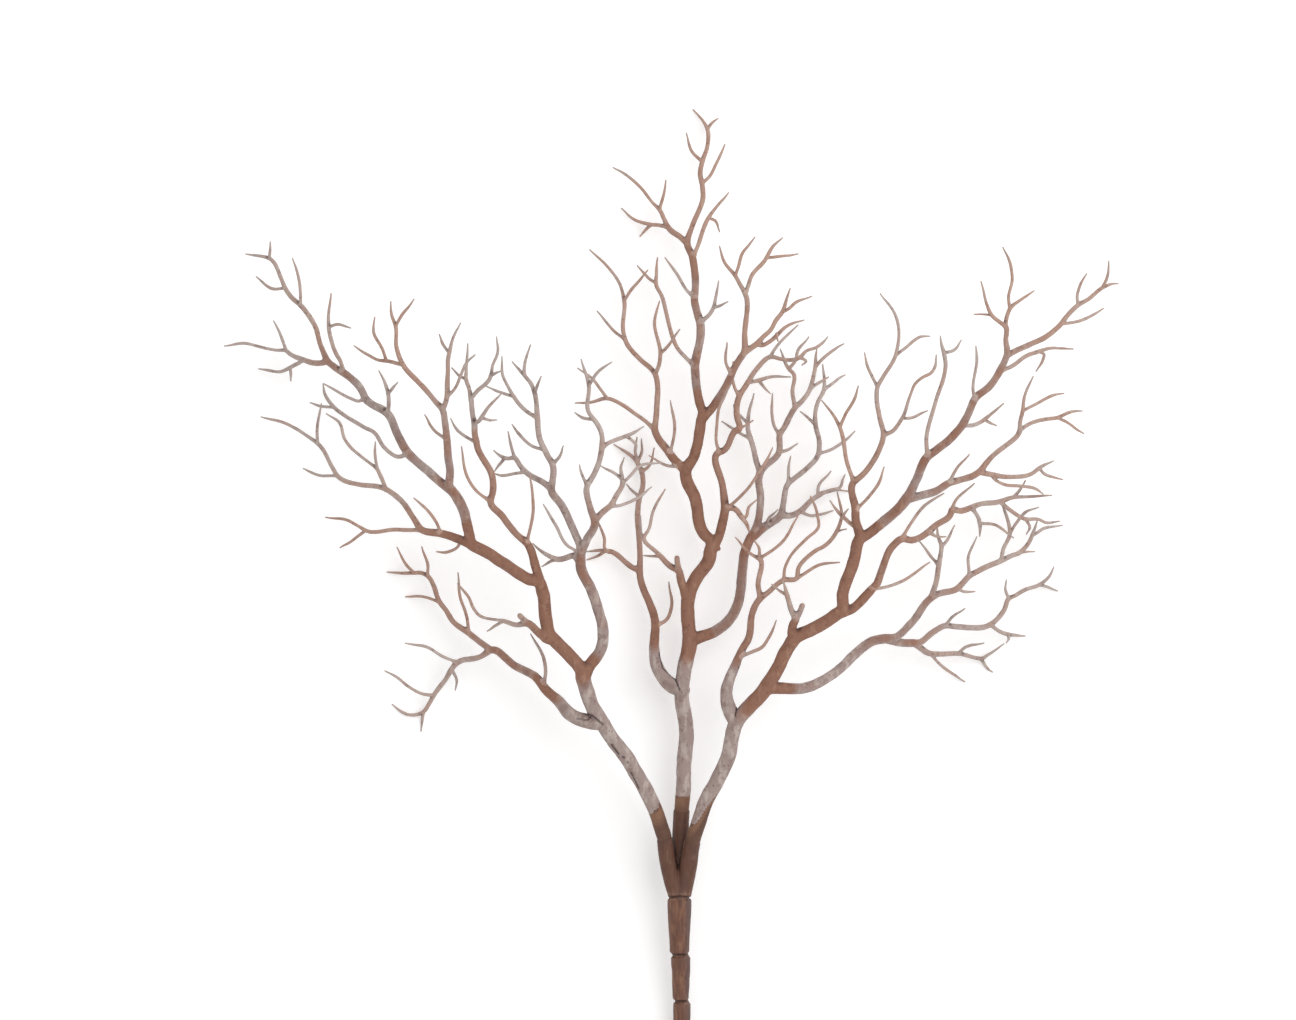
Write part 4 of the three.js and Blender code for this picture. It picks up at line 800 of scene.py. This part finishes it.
# Centre stalk, the tallest, in the socket behind the other two, with its own side spray on the
# left. It leans back a little, so its top twigs rest on the surface.
CENTRE_STALK = [
    ("centre_stalk", 14, [[15, .7,108.4, 1.3,113.4, 2.2,130], [16, 2.6,134, 1.2,144, 1,151],
        [17, 1.5,158, 3.6,168.8], [20, 3.6,173, 3,184, 4,187.4],
        [22, 5.8,191.3, 11,199.4, 11.5,204.5]]),
    ("centre_stub", "centre_stalk", [[27, 2,186, 0,192.5, -1,198.7],
        [22, -3.6,196, -8,200.6, -13,205.8], [20, -11.5,208.3, -9.4,216, -5.3,223.5],
        [14, -13.8,207, -14.2,214], [18, -8,199.4, -13,199.6]]),
    ("centre_low", "centre_stalk", [[16, 5,169.3, 12,172, 17.6,176.4, 20.9,182, 22,188],
        [14, 22.4,192, 23.2,199.8, 26.8,208.3]]),
    ("centre_low_riser", "centre_low", [[17, 28,211.7, 29.2,220, 29,229.5],
        [14, 27.8,233, 26.4,238.2, 25.3,242], [12, 24.7,246], [10, 25.3,252, 26.8,258],
        [7, 22.8,249.2, 20.5,251.5, 19.4,254], [8, 22.8,243.2, 20.5,244.8, 15.2,248]]),
    ("centre_low_crown", "centre_low_riser", [[20, 30.7,231.8, 35.8,237],
        [14, 38.3,237.5, 42.5,240], [22, 36,240, 36,243], [18, 34,246.4, 33.2,250.7, 33.4,258],
        [24, 37.5,245.6, 41.5,253], [26, 40.6,258, 41,265.4], [21, 39.4,267, 36.2,274],
        [20, 42,270, 42.8,273.3, 46.5,278.4], [20, 44,255.4, 47.3,260],
        [18, 48.6,264.8, 49,267.7], [16, 49,271.6, 49.4,274],
        [13, 51.6,270.7, 54.6,273.3, 59.2,276], [12, 49.4,261.3, 53.7,264]]),
    ("centre_low_arm", "centre_low", [[12, 29.8,209.2, 36.6,214.3], [14, 37.4,217.5, 39.2,226],
        [21, 31.5,212, 35.4,216.2], [9, 39.2,229.7, 40,235.4], [16, 41,227.5, 50,236.3],
        [5, 55.4,238.2, 58,240, 63.3,244.5], [17, 50.4,241, 49,246.8],
        [16, 45.6,249.8, 43.5,251.5], [13, 49,251, 50,255, 52,259.2], [7, 52.3,263, 51.6,268.6],
        [3, 54,261, 59.7,264.8]]),
    ("centre_low_arm_out", "centre_low_arm", [[10, 38.5,214, 43.3,215.6], [7, 47.7,219.4, 50,221],
        [3, 50,223.7, 54.6,230], [5, 52.4,222.4, 57.8,224], [2, 58.8,226.7, 59.7,228.8],
        [0, 61,222.8], [1, 47.3,214, 50,214.5, 55.4,215.8]]),
    ("centre_bough", "centre_stalk", [[25, 9.2,207, 5.8,219.8, 2.4,230.5],
        [29, 5,235.2, 7,243, 8,250.7]]),
    ("centre_leader", "centre_bough", [[30, 7,255, 5.4,267.7], [28, 7.5,278, 7.3,283.5],
        [26, 6.4,287, 5.2,292.7], [18, 3.4,294.2, -1,301, -5.3,307], [31, 10.5,286.5, 12.2,289],
        [28, 13,292, 14,298.5], [35, 14.3,289.5, 17.3,291]]),
    ("centre_leader_left", "centre_leader", [[23, 2.2,271, 0,273.3, -5.3,288.2],
        [17, -6.6,293.3, -8.7,298], [15, -8.5,301.4, -8,307], [9, -10.5,299, -15.3,304.2]]),
    ("centre_leader_top", "centre_leader", [[22, 5.3,293.8, 5.6,297, 4.7,307], [17, 2.7,312],
        [13, 4.2,317.8, 8,328, 8,334], [9, 7.4,337, 8,341.8], [5, 9.7,346.8, 10,353.6],
        [0, 8.8,356.3, 4.9,360.6], [2, 11.7,355.8, 13.8,357.4], [7, 4.5,345.5, 2.4,352],
        [8, 10,335.5, 13,341, 16.3,348], [20, 6.3,311, 10.4,321.2], [13, 13,324.6, 17.6,330.5],
        [12, 12.4,320.5, 14.4,316.4]]),
    ("centre_leader_fan", "centre_leader_top", [[11, 0,314.8, -4.1,318],
        [9, -5.7,321, -7.3,324.6], [2, -9.4,326.8, -18,336, -24,339.7], [12, -6.4,328.2, -5,335],
        [7, -7.5,318.7, -10.3,319], [1, -15.3,320.5, -21,325], [1, -12.5,317, -14.3,314.8]]),
    ("centre_arm", "centre_bough", [[34, 10.5,251.5, 15.2,258, 18.2,264.3],
        [38, 19.4,267.3, 21.6,270.7, 23,272.3], [38, 23.2,280, 23.6,293.8],
        [41, 17.1,268, 17,276.3]]),
    ("centre_arm_right", "centre_arm", [[36, 25,274, 28,276], [34, 30.2,278.4, 33.2,281.4],
        [32, 34.5,284, 37,287.4], [35, 38.3,291.2, 39.7,295.7],
        [27, 38.8,288.2, 42.2,290.8, 47.5,293], [28, 29,275.3, 32.4,276.5, 38,281.8, 44.7,284.4],
        [39, 34.9,279.5, 35.3,276.8]]),
    ("centre_arm_top", "centre_arm", [[36, 21,298, 19.8,300], [31, 15.7,305.7, 14.3,311],
        [37, 21.3,304, 22.4,308.3, 27,314.2], [33, 24.7,296.7, 26,300.5, 30.8,306.7],
        [30, 34.5,312, 37,314], [23, 34.5,307.2, 42.6,308.3]]),
    ("centre_left", "centre_bough", [[22, -0.2,232.4, -2.8,235.2, -8,242, -9,245],
        [23, -1.2,232, -3.6,231.8, -11,235.6], [31, -2.6,241.5, -2,247.7, -3.4,255.4],
        [14, -13.8,249.2, -20.2,253.7, -26,256], [22, -8.7,248.5, -8,260.5, -9,264.8],
        [17, -14.3,270.3, -19.8,277.5], [7, -31,255.1, -37.7,254.6],
        [11, -28,259, -31,263, -36.8,267.2], [28, -8,267, -7,272.4], [31, -9.2,284, -7.3,291.2],
        [36, -5.3,274, 0,281], [13, -20.5,280, -20,291.6], [5, -21,295.5, -25,302.7, -32.5,310],
        [21, -16.8,296, -11.5,302.5], [7, -22.8,280, -29.8,287.8]]),
    ("centre_right", "centre_stalk", [[27, 14.3,208, 16.2,216, 15.4,224.5, 14.2,237],
        [36, 18.6,218, 28,228.5], [35, 31,233.5, 33.4,238.4], [27, 19.8,216.4, 23.3,212],
        [22, 24.3,210.5, 25,208], [25, 23.6,213.4, 25,217, 27.8,219.8],
        [41, 13.3,240, 13.3,247, 14,252, 17.3,259.3], [30, 15.6,237.5, 20.2,244.8],
        [24, 21.5,245.3, 26.4,248.3], [30, 20.6,250, 21.5,257]]),
    ("centre_right_top", "centre_right", [[28, 22.6,259, 24.6,262], [27, 27.3,266, 32.4,271],
        [25, 19.9,259.5, 19,262, 19.2,269.4], [23, 28.5,262.6], [19, 33,263.7, 40,264],
        [24, 30.7,260, 32.6,258], [22, 34.5,274, 42.6,282.7], [33, 37,270.3, 43,271],
        [30, 45.6,273.3, 49.4,274.6], [26, 51.6,276.3, 53.3,278.4], [31, 45.6,269.5, 44,268.2]]),
]
CENTRE_SIDE = [
    ("centre_side", "centre_stalk", [[13, -2.4,152.6, -7.5,158.6, -9,166.7, -8.7,174.3],
        [10, -10.9,182.5, -14.5,194.2], [7, -5,176.3, -3,181, -3.9,190], [6, -16.4,195, -27,202],
        [3, -27.3,205.3, -29.8,213], [2, -29.2,201.3, -33.9,201], [0, -28.5,200, -33.5,198]]),
    ("centre_side_top", "centre_side", [[8, -14.4,197.7, -14.7,208, -14.5,220.7],
        [6, -13.4,224, -13.6,230], [2, -16.8,222.8, -19.2,225.4], [1, -15.3,233.5, -23.7,239.7],
        [5, -16,237.3, -15.4,242.3], [3, -14,236, -13.8,241.6], [9, -11.5,231.5, -9.2,238.4]]),
]
CENTRE_CRACKS = [
    (-7.4, 164.5, -6.2, 159, 0.25), (-6.2, 159, -1.6, 155, 0.25), (-1.6, 155, 0, 151.2, 0.35),
]
stalk_with_side(CENTRE_STALK, CENTRE_SIDE, "centre", 52, (4.3, 0.1), 20, CENTRE_CRACKS,
                [((11.3, 203.1, 22), (14.0, 202.1, 22.6), 1.1)])

# Right stalk, in the right-hand socket, with its side spray running up close beside it and a
# long lower bough that hangs out to the right.
RIGHT_STALK = [
    ("right_stalk", 20, [[24, 4.8,97.2, 10,111.6, 15.2,122], [31, 18.7,132.6, 20.4,139.5],
        [35, 25,145.3, 31,152, 33.3,155.6], [38, 39.6,167.5, 41.3,170],
        [42, 47.3,173, 54,176.5, 58.4,180]]),
    ("right_stub", "right_stalk", [[46, 40.4,172, 40.9,175.2, 44,181.6],
        [51, 40,180.3, 39.2,183.7, 37.1,190.4], [45, 37,186.3, 33,189.3]]),
    ("right_low", "right_stalk", [[28, 36,152, 44,151.7, 52.4,155, 56.7,158],
        [22, 63,164, 69.5,168.8, 78,170.4]]),
    ("right_low_riser", "right_low", [[24, 83.3,175.2, 90.6,184.5], [26, 92.8,192.5, 93.2,196.2],
        [21, 90.7,199, 86.2,205], [27, 93.9,200.2, 94.3,202.8], [25, 93.2,206.2, 92.6,211],
        [24, 95.8,204.5, 99,210.5]]),
    ("right_low_mid", "right_low_riser", [[20, 92.8,185.7, 100,187.7],
        [10, 102.5,186.5, 106.5,186.6], [18, 102.2,190, 104.4,192.4], [26, 104,199, 107,206.4],
        [14, 107.3,193.8, 116,197.6], [16, 116.7,202, 119,207.5], [17, 117.8,214.7, 115.6,219.5],
        [11, 122.7,213, 124.8,215.2, 129.5,217], [9, 120,199.6, 122.7,200.6], [3, 128.2,201],
        [8, 126.5,205.3], [11, 128.2,210, 129,212.2],
        [3, 128.5,207.5, 131.6,209.4, 138.2,210.5]]),
    ("right_low_out", "right_low", [[17, 82,168, 86.5,168.2], [15, 91,171.8, 96,174.3],
        [24, 97.3,176.5, 102.7,180.5], [11, 99,174, 111.8,174.8], [10, 117,180, 118.8,184],
        [14, 117.8,187, 117.8,190.8], [5, 121,185, 124.4,187, 130,189], [8, 133.8,193, 135,195.5],
        [0, 133,188.3, 136.5,186.8], [5, 115.7,172, 118.7,171], [0, 124.8,170.5],
        [10, 118.7,169.2, 117.8,168]]),
    ("right_low_tips", "right_low_out", [[11, 87.5,165.8, 90.5,164.3], [7, 94.3,164, 100.7,164.2],
        [2, 106.7,162.4, 109,162], [12, 102.4,165.8, 105.4,167, 109.7,168],
        [6, 111.4,163.5, 117,167.7], [0, 111.4,158.6, 113,157.5],
        [0, 92,162.4, 97,157.7, 103,154]]),
    ("right_inner", "right_stalk", [[46, 58.8,186, 63,198.5, 65,206], [51, 63.5,212, 62.5,226],
        [57, 66.9,219.8, 71.2,225.8, 73.3,231.4], [43, 60.5,211.6, 58.4,213.4, 54,219.4],
        [48, 59,214.6, 60.5,216.4], [53, 60,233, 57.5,246], [46, 55.4,249.8, 51,255.4],
        [60, 59.2,249.4, 63,256.6, 64,260.5]]),
    ("right_inner_mid", "right_inner", [[56, 64.4,227.5, 71.6,237.3, 73.2,243],
        [62, 71.8,249, 70.8,257, 71,260], [59, 69.5,263, 67.4,267.7, 66.3,272.4],
        [66, 72.5,263, 77.6,271.6], [72, 78.7,278.4, 77.6,285, 71.8,293.5],
        [60, 80.6,274, 86.5,278, 89.7,278.4]]),
    ("right_inner_arm", "right_inner_mid", [[58, 76.3,244.3, 79.7,249],
        [64, 82.3,257, 84.4,261.3, 87,263.5], [63, 90,265.2, 91.2,267.3, 92,271.6],
        [48, 82.3,249, 89,251.7]]),
    ("right_main", "right_inner", [[48, 67,207, 73.3,211.7, 81.5,220], [51, 84.7,226.7, 89,235],
        [59, 88.6,242, 91.7,255, 95.3,268], [66, 94.6,272.4, 93.4,278.4],
        [56, 98,273.3, 101,277]]),
    ("right_main_out", "right_main", [[50, 92,237.3, 98,242.5, 101.5,246.5],
        [39, 104.4,246.6, 109.6,248.5], [41, 112,250.7, 116.4,254.3],
        [33, 111.7,247.5, 114,246.4], [50, 103.2,250, 106,255.8], [47, 111.3,260.5, 115,266],
        [61, 105.3,258.8, 106.6,270.7, 106.2,274.8], [37, 118.5,267.3, 126,272, 129.6,273],
        [30, 133.5,274, 141.6,274], [31, 131,272, 130.5,270, 128.3,266]]),
    ("right_main_top", "right_main_out", [[47, 116.2,268.2, 117.5,271.5],
        [54, 117,277, 116.8,281.8], [58, 115,283.5, 112,286], [63, 110,290, 108,298],
        [54, 105.7,286.3], [53, 117.2,284.5, 118.5,288.2], [45, 122,291.2, 127.3,294.8],
        [52, 118,292.5, 119.2,299, 118.5,304, 116,310.4]]),
    ("right_main_leader", "right_main_top", [[40, 120.7,273.3, 131,278, 137,283],
        [30, 142,283.5, 146.3,284.8, 152.5,288.6], [36, 139,285.7, 143.4,289.9],
        [41, 142.9,292.5, 143.8,296.7, 146.3,301], [28, 146.8,291.6, 152.3,296.3],
        [22, 154.9,297.4, 158,297.6], [33, 153.4,298.9, 154.4,305.6]]),
    ("right_main_low", "right_main", [[44, 85,220.7, 92,222.8, 97,226], [51, 98.3,228.8, 104,236],
        [40, 99.6,226.7, 107.5,229.7], [37, 112.4,235.2, 122.3,244.8],
        [29, 110.7,229, 117.5,228.2, 127.4,229.4], [27, 129.5,231, 134.6,233.7],
        [18, 131.2,229.2, 138,227], [32, 113.5,227, 116.3,225.4, 122.7,224.7],
        [28, 128.6,223.3, 130.8,221.8]]),
    ("right_main_low_tips", "right_main_low", [[42, 122.4,248, 123,251.5],
        [45, 123.4,255.4, 127,264], [32, 126.6,253.2, 134,257.5, 138.2,258],
        [27, 125,246.4, 132.6,249.2, 135.8,249.4], [21, 141.6,251.7, 145,251.7],
        [13, 138.7,248, 145.7,243.6]]),
    ("right_outer", "right_stalk", [[40, 61,180.3, 66.7,185, 70.8,189.6],
        [38, 72,193, 76.7,202.8, 80,205.8], [30, 73.3,188, 79.7,190.4, 90,197.2],
        [34, 82.6,210.5, 88,217.7, 95,222], [33, 83.4,205.3, 89.4,208.3],
        [33, 92.4,206.6, 95.8,206.4], [31, 92,210.5, 97.6,214.5],
        [34, 98,216, 98.8,218.6, 106,225.6]]),
    ("right_outer_out", "right_outer", [[28, 101.3,215.8, 105,216.9], [25, 107.3,214],
        [13, 108,211.3, 108.2,206.6], [24, 113.3,210.5, 120.3,206], [25, 108.2,218, 115.4,219],
        [21, 120,220.5, 124.8,221, 134,221.3], [20, 122.7,223.3, 124.6,226.7],
        [23, 119.2,216, 124.4,213], [18, 130,212.6, 132,211.5, 137,212],
        [17, 126,209.2, 125,207.3]]),
]
RIGHT_SIDE = [
    ("right_side", "right_stalk", [[31, 18.7,142.8, 17,149, 18.7,156.4, 22.5,166],
        [37, 25.5,164.7, 30.2,167, 32,169.7, 34.7,176.3], [33, 23.8,168.4, 29,184]]),
    ("right_side_top", "right_side", [[34, 28.3,188.3, 28.6,198.5], [31, 26.4,199.8, 20,206.2],
        [38, 28.5,202, 26.8,205], [36, 31,200.2, 37,205, 42.6,214], [36, 31.5,186, 37.5,191],
        [45, 37.7,195, 38.8,198, 45,205.5], [31, 42.2,191.5, 50.7,196.4, 57.5,197.2],
        [36, 43,195.5, 49,201.5], [31, 50,210, 49.4,215.2, 47,221], [34, 51.6,202.8, 56.5,208.3],
        [33, 58.4,214, 56.7,222.4], [32, 60,209.2]]),
]
RIGHT_CRACKS = [
    (21.5, 159.8, 19.8, 152.9, 0.25), (19.8, 152.9, 19.6, 148.5, 0.25),
    (19.6, 148.5, 20.6, 145.5, 0.3), (20.6, 145.9, 20, 142.2, 0.35),
]
stalk_with_side(RIGHT_STALK, RIGHT_SIDE, "right", 51, (5.5, 3.5), 24, RIGHT_CRACKS)

# Floor, light and camera. A pale board lies under the spray, lit softly all round with a large
# lamp overhead, and the camera looks straight down on it from far off.
board = bpy.data.meshes.new("board")
board.from_pydata([(-3, -3, 0), (3, -3, 0), (3, 3, 0), (-3, 3, 0)], [], [(0, 1, 2, 3)])
floor = bpy.data.objects.new("floor", board)
bpy.context.scene.collection.objects.link(floor)
floor_finish, start, surface = new_finish("white board")
dull = start.clouds(3.0).rise(0.4, 0.6)
put(start.colour(250, 250, 250).over(shade(247, 247, 247), dull), surface, "Base Color")
surface.inputs["Roughness"].default_value = 0.9
surface.inputs["Emission Color"].default_value = (1, 1, 1, 1)
surface.inputs["Emission Strength"].default_value = 0.22
board.materials.append(floor_finish)

world = bpy.data.worlds.new("studio")
world.use_nodes = True
world.node_tree.nodes["Background"].inputs["Color"].default_value = (1, 1, 1, 1)
world.node_tree.nodes["Background"].inputs["Strength"].default_value = 0.62
bpy.context.scene.world = world


def lamp(name, place, size, power):
    """A square soft lamp that faces the spray."""
    light = bpy.data.lights.new(name, "AREA")
    light.shape = "SQUARE"
    light.size = size
    light.energy = power
    holder = bpy.data.objects.new(name, light)
    holder.location = place
    holder.rotation_euler = (-Vector(place)).to_track_quat("-Z", "Y").to_euler()
    bpy.context.scene.collection.objects.link(holder)


lamp("soft box", (0.9, 0.5, 1.8), 1.6, 19)
lamp("front fill", (-0.4, -1.2, 1.6), 1.4, 3)

LENS = 700
FILM = 36
WIDTH_SEEN = 0.4666
camera_data = bpy.data.cameras.new("camera")
camera_data.lens = LENS
camera_data.sensor_width = FILM
camera_data.clip_end = 20
camera = bpy.data.objects.new("camera", camera_data)
camera.location = (-0.0084, 0.0358, 0.030 + WIDTH_SEEN * LENS / FILM)
bpy.context.scene.collection.objects.link(camera)
bpy.context.scene.camera = camera
bpy.context.scene.view_settings.view_transform = "Standard"
